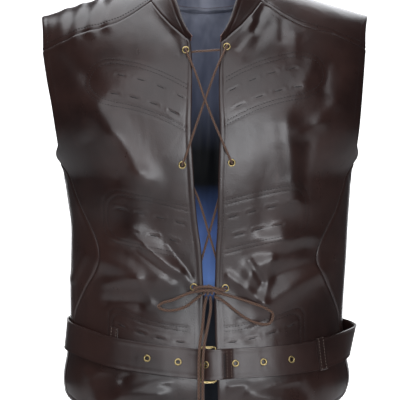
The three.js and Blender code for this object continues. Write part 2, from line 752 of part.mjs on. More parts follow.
const LACE_ROUTE = [
  [-5.9, -398.2, 9.8],
  [-10.5, -398.3, 8.4],
  ...through(1, FRONT_TO_BACK),
  [-10, -378, -9],
  [4, -330, -10],
  [17, -285, -9],
  [28, -252, -8.4],
  ...through(2, BACK_TO_FRONT),
  [27, -229, 6.4],
  [10, -190, 6.6],
  [-2, -160, 7.4],
  [-14, -126, 6],
  [-23, -105, 6.2],
  ...through(3, FRONT_TO_BACK),
  [-14, -94, -9],
  [0, -93, -9.6],
  [14, -92, -9],
  ...through(4, BACK_TO_FRONT),
  [21, -103, 6.2],
  [11, -126, 6],
  [-1.5, -160, 3],
  [-14, -196, 5.6],
  [-26, -232, 6.4],
  ...through(5, FRONT_TO_BACK),
  [-25, -256, -8.4],
  [-10, -288, -7],
  [3, -330, -6],
  [15, -370, -8],
  ...through(6, BACK_TO_FRONT),
  [17.5, -401, 8.6],
  [11.2, -401.8, 9.8],
];
const LEFT_LOOP_ROUTE = [
  [11.4, -405.8, 10],
  [21, -407.6, 9],
  [33, -411, 7.4],
  [56, -419, 6.8],
  [76, -427, 6.6],
  [84, -434, 6.4],
  [80, -446, 6.2],
  [66, -446, 6.2],
  [50, -439, 6.6],
  [34, -427, 7.4],
  [22, -417, 9],
  [9.6, -409.6, 10.4],
];
const RIGHT_LOOP_ROUTE = [
  [-6.4, -402.6, 10],
  [-14, -403.8, 10.4],
  [-26, -408, 8],
  [-43, -415.6, 7],
  [-56, -419.6, 6.6],
  [-60.4, -424, 6.4],
  [-55, -428, 6.4],
  [-43, -429, 6.8],
  [-27, -424.4, 7.6],
  [-14, -414.6, 9.4],
  [-5.6, -407.6, 10.4],
];
const TAIL_ROUTES = [
  [
    [0.4, -409.4, 10.8],
    [-2.4, -424, 11.6],
    [-5, -450, 14],
    [-8, -472, 18],
    [-9.2, -490, 20],
    [-9.4, -515, 19.4],
    [-9.4, -534, 15.4],
    [-9.4, -541, 14],
  ],
  [
    [5, -409.4, 10.8],
    [5.4, -426, 11.6],
    [1.6, -450, 14],
    [-2.4, -472, 18.6],
    [-4.2, -490, 20.6],
    [-4.6, -515, 19.6],
    [-4.6, -538, 15.4],
    [-4.4, -552, 13.4],
  ],
];

// ---- belt ----

// The belt's stand-off from its rest, at an angle and a share of its height (-0.5 to 0.5).
function standOff(angle, share) {
  const flare = Math.exp(-(((angle - FLARE.angle) / FLARE.spread) ** 2));
  const slipped = Math.exp(-(((angle - frontAngle(RIGHT_LOOP_X, beltZ(0))) / SLIP_SPREAD) ** 2));
  return flare * mix(FLARE.bottom, FLARE.top, share + 0.5) + slipped * (LOOP.thick + LOOP.air);
}

// A point of the belt: angle round the form, distance out, and share of its width.
function beltPoint(angle, out, share) {
  const centre = place(angle, beltZ(angle) - CHEST_Z);
  const level = formPoint(angle, beltZ(angle) + share * BELT_WIDTH - CHEST_Z);
  const flat = centre.normal.clone().setZ(0).normalize();
  return level.addScaledVector(flat, out + standOff(angle, share));
}

const beltAngle = (x) => frontAngle(x, beltZ(0));
const STRAP_MID = BELT_REST + BELT_THICK / 2;
const LAYER = BELT_THICK + 0.3; // step from one strap layer to the next
const HEEL_WRAP = BUCKLE.bar + 0.9 + BELT_THICK / 2; // radius of the strap round the heel bar
const STRAP_STEPS = 84;
const WRAP_ROWS = 7; // rows of the fold round the heel bar
const ROUND_FROM = 56; // the strap lies plainly round the body from this x
const ROUND_TO = -42; // to this one

// The strap near the buckle, in its own order: x, and the distance out from the strap's rest.
const CHAPE_START = [
  { x: 29, out: 0 },
  { x: 23, out: 0 },
  { x: 17, out: 0 },
];
const CHAPE_END = [
  { x: 17, out: 2 * HEEL_WRAP },
  { x: 23, out: HEEL_WRAP + 1.8 },
  { x: 28.5, out: LAYER + 0.5 },
  { x: 33, out: 1.4 },
  { x: 37, out: 0.8 },
  { x: 44, out: 0.2 },
  { x: ROUND_FROM, out: 0 },
];
const FREE_END = [
  { x: ROUND_TO, out: 0 },
  { x: -26, out: 0.6 },
  { x: -17, out: 1.4 },
  { x: -12.5, out: 2.2 },
  { x: -9, out: 3.3 },
  { x: -5.5, out: 5 },
  { x: 4.5, out: 9.1 },
  { x: 12, out: 2 * HEEL_WRAP + LAYER },
  { x: 18, out: 2 * HEEL_WRAP + LAYER },
  { x: 24, out: HEEL_WRAP + 2 + LAYER },
];
const CHAPE_ROWS = CHAPE_START.length + WRAP_ROWS; // rows up to the layer over the heel bar

// Middle line of the strap as angle and distance out: the fold round the heel bar, the way round the
// body, then the free end under the far bar and over the heel bar.
function strapLine() {
  const placed = (rows) => rows.map(({ x, out }) => [beltAngle(x), STRAP_MID + out]);
  const wrap = range(WRAP_ROWS).map((k) => {
    const turn = Math.PI * (0.5 + (k + 1) / (WRAP_ROWS + 1));
    return { x: BUCKLE.heel + HEEL_WRAP * Math.cos(turn), out: HEEL_WRAP * (1 - Math.sin(turn)) };
  });
  const [from, to] = [beltAngle(ROUND_FROM), 360 + beltAngle(ROUND_TO)];
  const round = range(STRAP_STEPS - 1).map((k) => {
    const angle = mix(from, to, (k + 1) / STRAP_STEPS);
    return [angle > 180 ? angle - 360 : angle, STRAP_MID];
  });
  return [...placed([...CHAPE_START, ...wrap, ...CHAPE_END]), ...round, ...placed(FREE_END)];
}

const STRAP_SHARES = [-0.5, 0, 0.5];

// The strap's wall: each point of its middle line, moved both ways across the line.
function strapGrid() {
  const line = strapLine();
  const middles = line.map(([angle, out]) => beltPoint(angle, out, 0));
  return line.map(([angle, out], k) => {
    const along = middles[Math.min(line.length - 1, k + 1)].clone().sub(middles[Math.max(0, k - 1)]);
    return STRAP_SHARES.map((share) => {
      const point = beltPoint(angle, out, share);
      const up = beltPoint(angle, out, share + 0.05).sub(beltPoint(angle, out, share - 0.05));
      const normal = along.clone().cross(up).normalize();
      return {
        inner: point.clone().addScaledVector(normal, -BELT_THICK / 2),
        outer: point.clone().addScaledVector(normal, BELT_THICK / 2),
      };
    });
  });
}

// Centre and axis of the strap at a place x of the front: on its free end where x is negative, and
// otherwise on the layer that comes over the heel bar.
function strapHole(x) {
  const line = strapLine();
  const spots = line.map(([angle, out]) => ({ x: beltPoint(angle, out, 0).x, angle, out }));
  const part = x < 0 ? spots.slice(line.length / 2) : spots.slice(CHAPE_ROWS, line.length / 2);
  const crosses = (spot, i) => i + 1 < part.length && (spot.x - x) * (part[i + 1].x - x) <= 0;
  const k = part.findIndex((spot, i) => Math.abs(spot.angle) < 90 && crosses(spot, i));
  const [a, b] = [part[k], part[k + 1]];
  const t = (x - a.x) / (b.x - a.x);
  const centre = beltPoint(mix(a.angle, b.angle, t), mix(a.out, b.out, t), 0);
  const along = beltPoint(b.angle, b.out, 0).sub(beltPoint(a.angle, a.out, 0));
  const up = beltPoint(a.angle, a.out, 0.1).sub(beltPoint(a.angle, a.out, -0.1));
  return { centre, axis: along.cross(up).normalize() };
}

// A place of the buckle: out is from the strap's middle line at rest, height from the belt's middle.
const bucklePoint = (x, out, height) => beltPoint(beltAngle(x), STRAP_MID + out, height / BELT_WIDTH);
const FAR_BAR_OUT = 3.9 + BELT_THICK / 2 + 0.8 + BUCKLE.bar;
const CORNER_STEPS = 3;

// The frame is one bent bar: a rounded rectangle, its far bar standing out over the strap.
function buckleFrameGeometry() {
  const half = (BUCKLE.heel - BUCKLE.far) / 2;
  const middle = (BUCKLE.heel + BUCKLE.far) / 2;
  const outAt = (x) => mix(HEEL_WRAP, FAR_BAR_OUT, (BUCKLE.heel - x) / (2 * half));
  const corners = [
    [-1, -1],
    [1, -1],
    [1, 1],
    [-1, 1],
  ];
  const points = corners.flatMap(([sx, sz], k) =>
    range(CORNER_STEPS + 1).map((i) => {
      const turn = Math.PI * (1 + k / 2) + ((Math.PI / 2) * i) / CORNER_STEPS;
      const x = middle + sx * (half - BUCKLE.corner) + BUCKLE.corner * Math.cos(turn);
      const z = sz * (BUCKLE.halfHeight - BUCKLE.corner) + BUCKLE.corner * Math.sin(turn);
      return bucklePoint(x, outAt(x), z);
    }),
  );
  const path = new THREE.CatmullRomCurve3(points, true, "centripetal");
  return new THREE.TubeGeometry(path, 32, BUCKLE.bar, 8, true);
}

// The prong: from the heel bar's slot up through the third belt eyelet, and onto the far bar.
const PRONG_ROUTE = [
  { x: 6.3, out: 3.2 },
  { x: 3.2, out: 3.8 },
  { x: 0.8, out: 5 },
  { x: -0.5, out: 7.1 },
  { x: -1.8, out: 9.6 },
  { x: -4, out: 10.8 },
  { x: -8, out: 10.7 },
  { x: -11, out: 10.4 },
];

function prongGeometry() {
  const points = PRONG_ROUTE.map(({ x, out }) => bucklePoint(x, out, 0));
  return tubeGeometry(points, 2 * PRONG_RADIUS, 14);
}

// A belt loop: a narrow leather band. path runs along the middle of the band, as rows of height
// over the belt's middle and distance out from the form.
function beltLoopGeometry(x, path) {
  const middle = frontAngle(x, beltZ(0));
  const onBelt = (angle) => formPoint(angle, beltZ(angle) - CHEST_Z);
  const swing = LOOP.width / 2 / onBelt(middle).distanceTo(onBelt(middle + 1));
  const at = (angle, height, out) => {
    const flat = formNormal(angle, beltZ(angle) - CHEST_Z).setZ(0).normalize();
    return formPoint(angle, beltZ(angle) + height - CHEST_Z).addScaledVector(flat, out);
  };
  const grid = path.map(([height, out], k) => {
    const before = path[Math.max(0, k - 1)];
    const after = path[Math.min(path.length - 1, k + 1)];
    const half = new THREE.Vector2(after[1] - before[1], before[0] - after[0]);
    half.setLength(LOOP.thick / 2);
    return [-1, 0, 1].map((side) => {
      const angle = middle + side * swing;
      return {
        inner: at(angle, height - half.x, out - half.y),
        outer: at(angle, height + half.x, out + half.y),
      };
    });
  });
  return wallGeometry(grid);
}

const LOOP_BACK = LEATHER + LOOP.air + LOOP.thick / 2; // the band's middle behind the belt
const LOOP_FRONT = BELT_REST + BELT_THICK + LOOP.air + LOOP.thick / 2; // and over the belt
const LOOP_EDGE = BELT_WIDTH / 2 + LOOP.air + LOOP.thick / 2;
const LOOP_CORNER_STEPS = 3;

// The loop that holds the belt: sewn down behind the belt, it runs round both of the belt's edges.
function roundLoopPath() {
  const corner = (out, from) =>
    range(LOOP_CORNER_STEPS + 1).map((k) => {
      const turn = radians(from + (90 * k) / LOOP_CORNER_STEPS);
      const centre = LOOP_EDGE - LOOP.bend;
      return [-centre - LOOP.bend * Math.sin(turn), out - LOOP.bend * Math.cos(turn)];
    });
  const lower = [
    [-LOOP.gap / 2, LOOP_BACK],
    ...corner(LOOP_BACK + LOOP.bend, 0),
    ...corner(LOOP_FRONT - LOOP.bend, 90),
  ];
  const upper = lower.map(([height, out]) => [-height, out]).reverse();
  return [...lower, [0, LOOP_FRONT], ...upper];
}

// The loop that has slipped behind the belt lies flat on the leather.
const SLIPPED_PATH = [31, 22, 0, -16].map((height) => [height, LOOP_BACK]);

// ---- the object ----

const vest = new THREE.Group();

function add(name, geometry, look) {
  const mesh = new THREE.Mesh(geometry, new THREE.MeshStandardMaterial(look));
  mesh.name = name;
  vest.add(mesh);
}

function addPanels() {
  const laceHoles = LACE_EYELETS.map((eyelet) => {
    const spot = laceEyeletPlace(eyelet);
    const radius = EYELET.barrel + EYELET_CLEARANCE;
    return { x: eyelet.x, centre: spot.point, axis: spot.normal, radius, length: DRILL.length };
  });
  for (const sign of [-1, 1]) {
    const side = sideName(sign);
    const holes = laceHoles.filter((hole) => Math.sign(hole.x) === sign);
    add(`front_${side}`, drilled(sewnWall(frontGrid(sign), 0, LEATHER), holes), LEATHER_LOOK);
    add(`lining_${side}`, drilled(liningGeometry(thinned(frontGrid(sign))), holes), SATIN_LOOK);
    add(`side_${side}`, sewnWall(sideGrid(sign), 0, LEATHER), LEATHER_LOOK);
    add(`yoke_${side}`, sewnWall(yokeGrid(sign), 0, LEATHER), LEATHER_LOOK);
  }
  add("back", sewnWall(backGrid(), 0, LEATHER), LEATHER_LOOK);
  add("lining_back", liningGeometry(thinned(backGrid())), SATIN_LOOK);
  add("collar", sewnWall(collarGrid(), 0, LEATHER, SEAM_INSET / 20), LEATHER_LOOK);
}

function addLace() {
  for (const eyelet of LACE_EYELETS) {
    const spot = laceEyeletPlace(eyelet);
    const back = -(LINING_GAP + LINING + 2 * EYELET_CLEARANCE);
    const geometry = eyeletGeometry(EYELET, LEATHER + EYELET_CLEARANCE, back);
    add(eyelet.name, orient(geometry, spot.point, spot.normal), BRASS_LOOK);
  }
  add("lace", tubeGeometry(routePoints(LACE_ROUTE), LACE_DIAMETER, 88), LACE_LOOK);
  add("bow_loop_right", tubeGeometry(routePoints(RIGHT_LOOP_ROUTE), BOW_DIAMETER, 20), LACE_LOOK);
  add("bow_loop_left", tubeGeometry(routePoints(LEFT_LOOP_ROUTE), BOW_DIAMETER, 26), LACE_LOOK);
  const knot = new THREE.SphereGeometry(1, 12, 8);
  knot.scale(KNOT.halfWidth, KNOT.halfDepth, KNOT.halfHeight);
  knot.translate(...frontPoint(KNOT.x, KNOT.z, KNOT.out).toArray());
  add("bow_knot", knot, LACE_LOOK);
  TAIL_ROUTES.forEach((route, k) => {
    const points = routePoints(route);
    add(`lace_tail_${k + 1}`, tubeGeometry(points, BOW_DIAMETER, 14), LACE_LOOK);
    const [before, end] = points.slice(-2);
    const axis = end.clone().sub(before).normalize();
    const tip = new THREE.CylinderGeometry(TIP.radius * 0.7, TIP.radius, TIP.length, 10);
    const centre = end.clone().addScaledVector(axis, TIP.length / 2 + 0.3);
    add(`lace_tip_${k + 1}`, orient(tip, centre, axis), BRASS_LOOK);
  });
}

function addBelt() {
  const holes = BELT_EYELETS.map(({ x }) => ({
    ...strapHole(x),
    radius: BELT_EYELET.barrel + EYELET_CLEARANCE,
    length: 2 * BELT_THICK,
  }));
  add("belt_strap", drilled(wallGeometry(strapGrid()), holes), LEATHER_LOOK);
  BELT_EYELETS.forEach(({ name }, k) => {
    const half = BELT_THICK / 2;
    const geometry = eyeletGeometry(BELT_EYELET, half + 0.6, -half - 0.4);
    add(name, orient(geometry, holes[k].centre, holes[k].axis), BRASS_LOOK);
  });
  add("buckle_frame", buckleFrameGeometry(), BRASS_LOOK);
  add("buckle_prong", prongGeometry(), BRASS_LOOK);
  add("belt_loop_right", beltLoopGeometry(RIGHT_LOOP_X, SLIPPED_PATH), LEATHER_LOOK);
  add("belt_loop_left", beltLoopGeometry(LEFT_LOOP_X, roundLoopPath()), LEATHER_LOOK);
}

addPanels();
addLace();
addBelt();

export default vest;
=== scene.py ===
"""Dresses the lace-front leather costume vest over its packed frame.

The pattern is drawn in millimetres on one hollow body form, and each mesh is then set down in metres.
+Z is up, the front faces -Y and +X is the wearer's left. The origin lies between the two neck points.
"""

import math

import bmesh
import bpy
import numpy as np
from mathutils import Matrix, Vector


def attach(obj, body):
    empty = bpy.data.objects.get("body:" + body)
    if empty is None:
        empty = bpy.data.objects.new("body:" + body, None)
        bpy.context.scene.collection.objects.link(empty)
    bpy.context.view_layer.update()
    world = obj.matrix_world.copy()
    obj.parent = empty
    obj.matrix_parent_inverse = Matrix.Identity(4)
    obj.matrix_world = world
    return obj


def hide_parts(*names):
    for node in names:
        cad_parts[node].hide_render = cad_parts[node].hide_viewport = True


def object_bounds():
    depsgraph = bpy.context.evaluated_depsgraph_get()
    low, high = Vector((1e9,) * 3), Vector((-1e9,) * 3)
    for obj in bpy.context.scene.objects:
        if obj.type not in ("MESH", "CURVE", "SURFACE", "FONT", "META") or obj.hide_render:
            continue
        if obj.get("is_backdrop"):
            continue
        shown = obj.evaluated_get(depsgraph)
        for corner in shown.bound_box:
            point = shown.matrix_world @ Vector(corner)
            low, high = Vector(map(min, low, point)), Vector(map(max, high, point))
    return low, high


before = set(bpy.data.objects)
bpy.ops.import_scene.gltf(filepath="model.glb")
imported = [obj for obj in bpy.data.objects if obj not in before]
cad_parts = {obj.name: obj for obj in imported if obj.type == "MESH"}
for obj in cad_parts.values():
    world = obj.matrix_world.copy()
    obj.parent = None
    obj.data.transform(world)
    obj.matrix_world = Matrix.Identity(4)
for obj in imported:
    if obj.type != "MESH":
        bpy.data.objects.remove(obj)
CAD_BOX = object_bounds()

bl_info = {
    "name": "Costume Vest",
    "version": (1, 0, 0),
    "blender": (4, 5, 0),
    "location": "View3D > Sidebar > Vest",
    "description": "Builds a lace-front leather costume vest with satin lining and buckled belt",
    "category": "Add Mesh",
}

MM = 0.001
BODY = "root"
SIDES = ((-1, "right"), (1, "left"))

# ---- the pattern's numbers, in millimetres and degrees ----

LEATHER = 1.6
LINING = 1.0
LINING_GAP = 1.9
CHEST_Z = -180
ARMPIT_Z = -262
SLEEVELESS_HALF = 232
SECTION_POWER = 2.4
SHOULDER_ARC = 235
SHOULDER_SLOPE = 0.3
NECK_HALF = 76
NECK_ROUND = 30
HEM_MEAN_Z = -575
HEM_SWING = 30


def table(columns, *rows):
    """Named columns of numbers, from rows that rise in the first column."""
    return dict(zip(columns.split(), np.array(rows, float).T))


SECTIONS = table(
    "z right left front back",
    (-640, 172, 166, 110, 112),
    (-595, 178, 171, 115, 116),
    (-560, 183, 179, 119, 118),
    (-528, 190, 191, 121, 118),
    (-490, 185, 186, 117, 111),
    (-450, 181, 182, 113, 104),
    (-405, 181, 184, 112, 100),
    (-360, 180, 187, 115, 101),
    (-320, 180, 189, 119, 105),
    (-290, 184, 191, 123, 110),
    (-262, 188, 193, 126, 115),
    (-230, 192, 195, 128, 118),
    (-180, 200, 200, 128, 119),
)
FRONT_EDGES = table(
    "z right left",
    (-620, 2, 17),
    (-543, 2, 15),
    (-479, 1.3, 12),
    (-415, 2.5, 10.2),
    (-396, 3.8, 10.8),
    (-352, 6.4, 12.1),
    (-320, 10.8, 14),
    (-288, 14, 14.6),
    (-237, 17.2, 15.9),
    (-199, 19.1, 17.2),
    (-160, 18.5, 15.9),
    (-109, 18, 16.6),
    (-84, 20.4, 18.6),
)
ARMHOLE_EDGES = table(
    "z right left",
    (-260, 188, 192),
    (-238, 190.5, 194),
    (-207, 194, 197.5),
    (-166, 200.5, 201.5),
    (-130, 208, 205),
    (-85, 216, 210),
    (-40, 221, 217.5),
    (10, 222, 219),
)
ARMHOLE_FOOT_Z = -238
ARMHOLE_DIP = 19
ARMHOLE_TURN_IN = 6
SHOULDER_TIP_Z = -42
ARMHOLE_LEAD = 24
FRONT_SIDE_SEAM = table(
    "z angle",
    (-640, 73),
    (-450, 73),
    (-410, 60),
    (-371, 47),
    (-345, 48),
    (-300, 60),
    (-238, 73),
)
BACK_SIDE_SEAM_ANGLE = 107
FRONT_TOP = table(
    "x z",
    (12, -91),
    (20, -84),
    (45, -62),
    (60, -45),
    (72, -28),
    (95, -45),
    (110, -54),
    (125, -61),
    (143, -66),
    (163, -70),
    (186, -80),
    (215, -91),
)
FRONT_YOKE_CORNER_X = 72
BACK_TOP = table("x z", (0, -20), (30, -18.5), (50, -15), (68, -11), (140, -44), (216, -76))
BACK_YOKE_CORNER_X = 68

# Soft folds as ridges from one place to another; a negative height is a trough. face 0 is the front
# and 1 the back.
FOLDS = table(
    "x0 z0 x1 z1 width height face",
    (-187, -24, -189, -84, 8, 1.6, 0),
    (-165, -18, -170, -78, 8, 2, 0),
    (-143, -14, -149, -70, 8, 2, 0),
    (-121, -8, -127, -62, 8, 1.7, 0),
    (58, -60, 40, -98, 9, 4, 0),
    (-134, -166, -78, -262, 17, 4.5, 0),
    (100, -190, 110, -284, 15, 5, 0),
    (-92, -330, -40, -388, 15, 5, 0),
    (-128, -366, -66, -392, 16, 4.5, 0),
    (98, -340, 44, -398, 16, 5, 0),
    (140, -380, 78, -420, 15, 4.5, 0),
    (-128, -548, -62, -534, 12, 5, 0),
    (52, -536, 120, -552, 13, 5, 0),
    (-120, -384, 96, -398, 16, 5, 1),
    (-84, -424, 124, -412, 14, 4.5, 1),
    (-150, -250, -96, -330, 18, 5, 1),
    (150, -246, 100, -322, 18, 5, 1),
    (-70, -540, -92, -590, 14, 4, 1),
    (62, -536, 84, -590, 14, 4, 1),
)
# Lesser creases, which only the leather's own surface has.
CREASES = table(
    "x0 z0 x1 z1 width height face",
    (-159, -168, -119, -203, 12, 1.6, 0),
    (-119, -203, -87, -254, 12, 1.8, 0),
    (-87, -254, -89, -306, 12, 1.6, 0),
    (-186, -91, -154, -129, 11, -1.6, 0),
    (-154, -129, -124, -167, 11, -1.4, 0),
    (-72, -47, -48, -73, 8, -1.7, 0),
    (-48, -73, -34, -96, 8, -1.1, 0),
    (-150, -215, -122, -262, 12, -2.2, 0),
    (-104, -136, -66, -118, 16, 0.8, 0),
    (76, -36, 62, -67, 6, -2.0, 0),
    (62, -67, 40, -91, 6, -1.4, 0),
    (84, -60, 52, -104, 8, -1.0, 0),
    (98, -57, 98, -80, 6, -0.9, 0),
    (114, -78, 113, -99, 7, 1.0, 0),
    (135, -115, 125, -138, 9, 1.4, 0),
    (156, -116, 150, -147, 7, -1.8, 0),
    (176, -130, 166, -162, 10, 1.6, 0),
    (166, -162, 145, -187, 10, 1.6, 0),
    (145, -187, 119, -200, 10, 1.6, 0),
    (119, -200, 107, -264, 10, 1.2, 0),
    (132, -214, 124, -280, 8, -2.4, 0),
    (71, -275, 71, -323, 12, -1.2, 0),
    (71, -336, 139, -335, 9, 1.6, 0),
    (56, -359, 127, -349, 9, -1.8, 0),
    (28, -385, 74, -421, 6, 1.8, 0),
    (84, -364, 71, -421, 6, 1.6, 0),
    (56, -367, 71, -392, 5, -2.0, 0),
    (90, -384, 140, -372, 10, -2.4, 0),
    (-76, -348, -34, -379, 6, 2.2, 0),
    (-34, -379, -16, -396, 7, 1.1, 0),
    (-49, -344, -18, -385, 5, -1.8, 0),
    (-87, -350, -43, -388, 6, -2.2, 0),
    (-127, -395, -87, -389, 7, 1.8, 0),
    (-87, -389, -72, -421, 7, 1.6, 0),
    (-127, -419, -87, -420, 8, -2.6, 0),
    (-158, -360, -175, -393, 6, 2.0, 0),
    (-123, -337, -81, -341, 7, 1.0, 0),
    (-151, -511, -116, -501, 8, 2.0, 0),
    (-95, -500, -107, -519, 6, -2.0, 0),
    (-107, -535, -50, -517, 6, 1.8, 0),
    (23, -527, 48, -522, 6, 1.6, 0),
    (57, -530, 115, -518, 6, 1.8, 0),
    (43, -442, 54, -469, 6, -0.8, 0),
    (30, -432, 31, -473, 6, 0.5, 0),
    (58, -454, 71, -444, 5, -0.9, 0),
    (130, -520, 148, -566, 9, 1.9, 0),
    (-150, -520, -132, -572, 9, 1.9, 0),
    (24, -560, 62, -584, 8, 1.3, 0),
    (-40, -90, -60, -180, 12, 1.5, 1),
    (52, -96, 40, -200, 12, 1.4, 1),
    (-110, -120, -140, -190, 10, 1.7, 1),
    (120, -110, 142, -182, 10, 1.7, 1),
    (-60, -300, 30, -318, 12, 1.6, 1),
    (-10, -350, 110, -358, 11, 1.7, 1),
    (-140, -352, -60, -366, 10, 1.6, 1),
    (-30, -440, 60, -436, 9, 1.2, 1),
    (0, -546, -8, -590, 10, 1.4, 1),
)
FOLD_FREE_EDGE = 22
FOLD_FADE = 26
BELT_FOLD_GAP = 34
CREASE_FREE_EDGE = 9
CREASE_FADE = 8
BELT_CREASE_GAP = 21

LACE_EYELETS = (
    (-16, -399),
    (32.1, -240.2),
    (-26.3, -96.4),
    (26.3, -92),
    (-30.6, -243),
    (24.3, -400.3),
)
EYELET = {"flange": 5.1, "hole": 2.9, "barrel": 3.4, "rim": 0.7}
EYELET_CLEARANCE = 0.5
EYELET_STEPS = 32

BELT_WIDTH = 38
BELT_THICK = 2.4
BELT_REST = LEATHER + 2.3
BELT_LINE = table(
    "angle right left",
    (0, -497, -497),
    (30, -486, -492.5),
    (60, -472, -483),
    (90, -465, -471.5),
    (135, -460, -462),
    (180, -458, -458),
)
FLARE = {"angle": 84, "spread": 15, "top": 14, "bottom": 1.5}
SLIP_SPREAD = 7
BELT_EYELETS = (-75.5, -36, -0.5, 37, 73, 109)
BELT_EYELET = {"flange": 4.7, "hole": 2.5, "barrel": 3, "rim": 0.6}
BUCKLE = {"heel": 12, "far": -8, "bar": 1.6, "half_height": 21.5, "corner": 2.6}
LOOP = {"width": 12, "thick": 1.4, "bend": 1.2, "gap": 6, "air": 0.4}
RIGHT_LOOP_X = -121
LEFT_LOOP_X = 147

LACE_DIAMETER = 3
BOW_DIAMETER = 3.6
KNOT = {"x": 2.5, "z": -402, "out": 10, "width": 8.5, "height": 6.9, "depth": 4.8}
KNOT_DIAMETER = BOW_DIAMETER * 0.94
# Each turn's place along the knot and how far it leans.
KNOT_TURNS = ((-4.3, 0.25), (-0.3, 0.1), (3.9, -0.2))
KNOT_BIGHTS = (
    [(-17, -400.6, 13.4), (-8, -397.8, 15.2), (3, -397.4, 16.6), (13, -399.6, 15.8), (24, -404, 12.8)],
    [(-14, -404.4, 14), (-4, -402.4, 16), (7, -402.2, 16.6), (17, -405.2, 14.4), (22, -407.6, 13)],
)
TIP = {"radius": 2.2, "length": 16, "steps": 20}

# ---- the sizes and colours that a user would change ----


def length_of(name, description, default):
    return bpy.props.FloatProperty(
        name=name, description=description, default=default, min=0, unit="LENGTH", precision=4
    )


def colour_of(name, description, default):
    return bpy.props.FloatVectorProperty(
        name=name, description=description, default=default, min=0, max=1, size=3, subtype="COLOR"
    )


def share_of_one(name, description, default):
    return bpy.props.FloatProperty(
        name=name, description=description, default=default, min=0, max=1, subtype="FACTOR"
    )


class VestLeatherSettings(bpy.types.PropertyGroup):
    """The leather's cells, colours and finish."""

    front_cell: length_of("Front cell", "Mesh size of the fronts and yokes", 2.1 * MM)
    back_cell: length_of("Back cell", "Mesh size of the back and sides", 3.2 * MM)
    deep: colour_of("Deep brown", "Leather in its darker patches", (0.0135, 0.0052, 0.0042))
    worn: colour_of("Worn brown", "Leather where it has rubbed lighter", (0.037, 0.0165, 0.0132))
    roughness: share_of_one("Roughness", "Middle roughness of the finish", 0.3)
    grain: length_of("Grain", "Size of one pebble of the grain", 1.6 * MM)


class VestSatinSettings(bpy.types.PropertyGroup):
    """The lining's satin."""

    cell: length_of("Cell", "Mesh size of the lining", 4 * MM)
    face: colour_of("Satin face", "Colour of the satin", (0.5, 0.63, 0.9))
    # Painted shade: the darker side of the satin's painted sheen streaks.
    shade: colour_of("Satin shade", "Colour in the satin's deeper streaks", (0.2, 0.26, 0.42))


class VestLaceSettings(bpy.types.PropertyGroup):
    """The braided lace."""

    step: length_of("Step", "Mesh size along the lace", 0.8 * MM)
    strand: length_of("Strand", "Length of one crossing of the braid", 4.6 * MM)
    light: colour_of("Light strand", "Colour on the strands", (0.17, 0.078, 0.042))
    # Painted shade in the crevices between the strands.
    dark: colour_of("Dark strand", "Colour between the strands", (0.012, 0.005, 0.003))


class VestBrassSettings(bpy.types.PropertyGroup):
    """Eyelets, buckle and lace tips."""

    colour: colour_of("Brass", "Colour of the polished brass", (0.46, 0.35, 0.16))
    roughness: share_of_one("Roughness", "Roughness of the polish", 0.3)


class VestStageSettings(bpy.types.PropertyGroup):
    """Camera, floor and lights."""

    distance: length_of("Distance", "Camera to the middle of the vest", 2.2)
    field: length_of("Field", "Width of the view at the middle of the vest", 0.54)
    floor_drop: length_of("Floor", "Depth of the floor under the neck points", 1.0)


SETTINGS = {
    "vest_leather": VestLeatherSettings,
    "vest_satin": VestSatinSettings,
    "vest_lace": VestLaceSettings,
    "vest_brass": VestBrassSettings,
    "vest_stage": VestStageSettings,
}

# ---- arithmetic ----


def mix(a, b, t):
    return a + (b - a) * t


def smooth(t):
    c = np.clip(t, 0, 1)
    return c * c * (3 - 2 * c)


def bump_at(distance, width):
    """A soft hump that is 1 at distance 0."""
    return np.exp(-((distance / width) ** 2))


def read(rows, key, column, at):
    """A column of a table, smoothly, at values of its key column."""
    k, c = rows[key], rows[column]
    slope = np.gradient(c, k)
    slope[1:-1] = (c[2:] - c[:-2]) / (k[2:] - k[:-2])
    at = np.clip(np.asarray(at, float), k[0], k[-1])
    i = np.clip(np.searchsorted(k, at) - 1, 0, len(k) - 2)
    span = k[i + 1] - k[i]
    t = (at - k[i]) / span
    t2, t3 = t * t, t * t * t
    return (
        (2 * t3 - 3 * t2 + 1) * c[i]
        + (t3 - 2 * t2 + t) * slope[i] * span
        + (3 * t2 - 2 * t3) * c[i + 1]
        + (t3 - t2) * slope[i + 1] * span
    )


def by_side(rows, key, at, sign):
    """The right or left column of a table, as sign is negative or not."""
    return np.where(np.asarray(sign) < 0, read(rows, key, "right", at), read(rows, key, "left", at))


def unit(vectors):
    return vectors / np.maximum(np.linalg.norm(vectors, axis=-1, keepdims=True), 1e-9)


def gone_along(line):
    """The distance gone along a line at each of its points."""
    return np.concatenate([[0], np.cumsum(np.linalg.norm(np.diff(line, axis=0), axis=1))])


def off_segment(x, z, x0, z0, x1, z1):
    """How far off places lie from a straight segment, in x and in z."""
    dx, dz = x1 - x0, z1 - z0
    along = np.clip(((x - x0) * dx + (z - z0) * dz) / max(dx * dx + dz * dz, 1e-9), 0, 1)
    return x - x0 - along * dx, z - z0 - along * dz


# ---- the body form ----


def half_width(z, sign):
    opening = smooth((z - ARMPIT_Z) / (CHEST_Z - ARMPIT_Z))
    return mix(by_side(SECTIONS, "z", z, sign), SLEEVELESS_HALF, opening)


def angle_of_share(share):
    return np.degrees(np.arcsin(np.clip(share, 0, 1) ** (SECTION_POWER / 2)))


def front_angle(x, z):
    """Angle round the front at which the form at height z reaches x."""
    return np.sign(x) * angle_of_share(np.abs(x) / half_width(z, x))


def shoulder_z(x):
    return -SHOULDER_SLOPE * (np.hypot(x, NECK_ROUND) - math.hypot(NECK_HALF, NECK_ROUND))


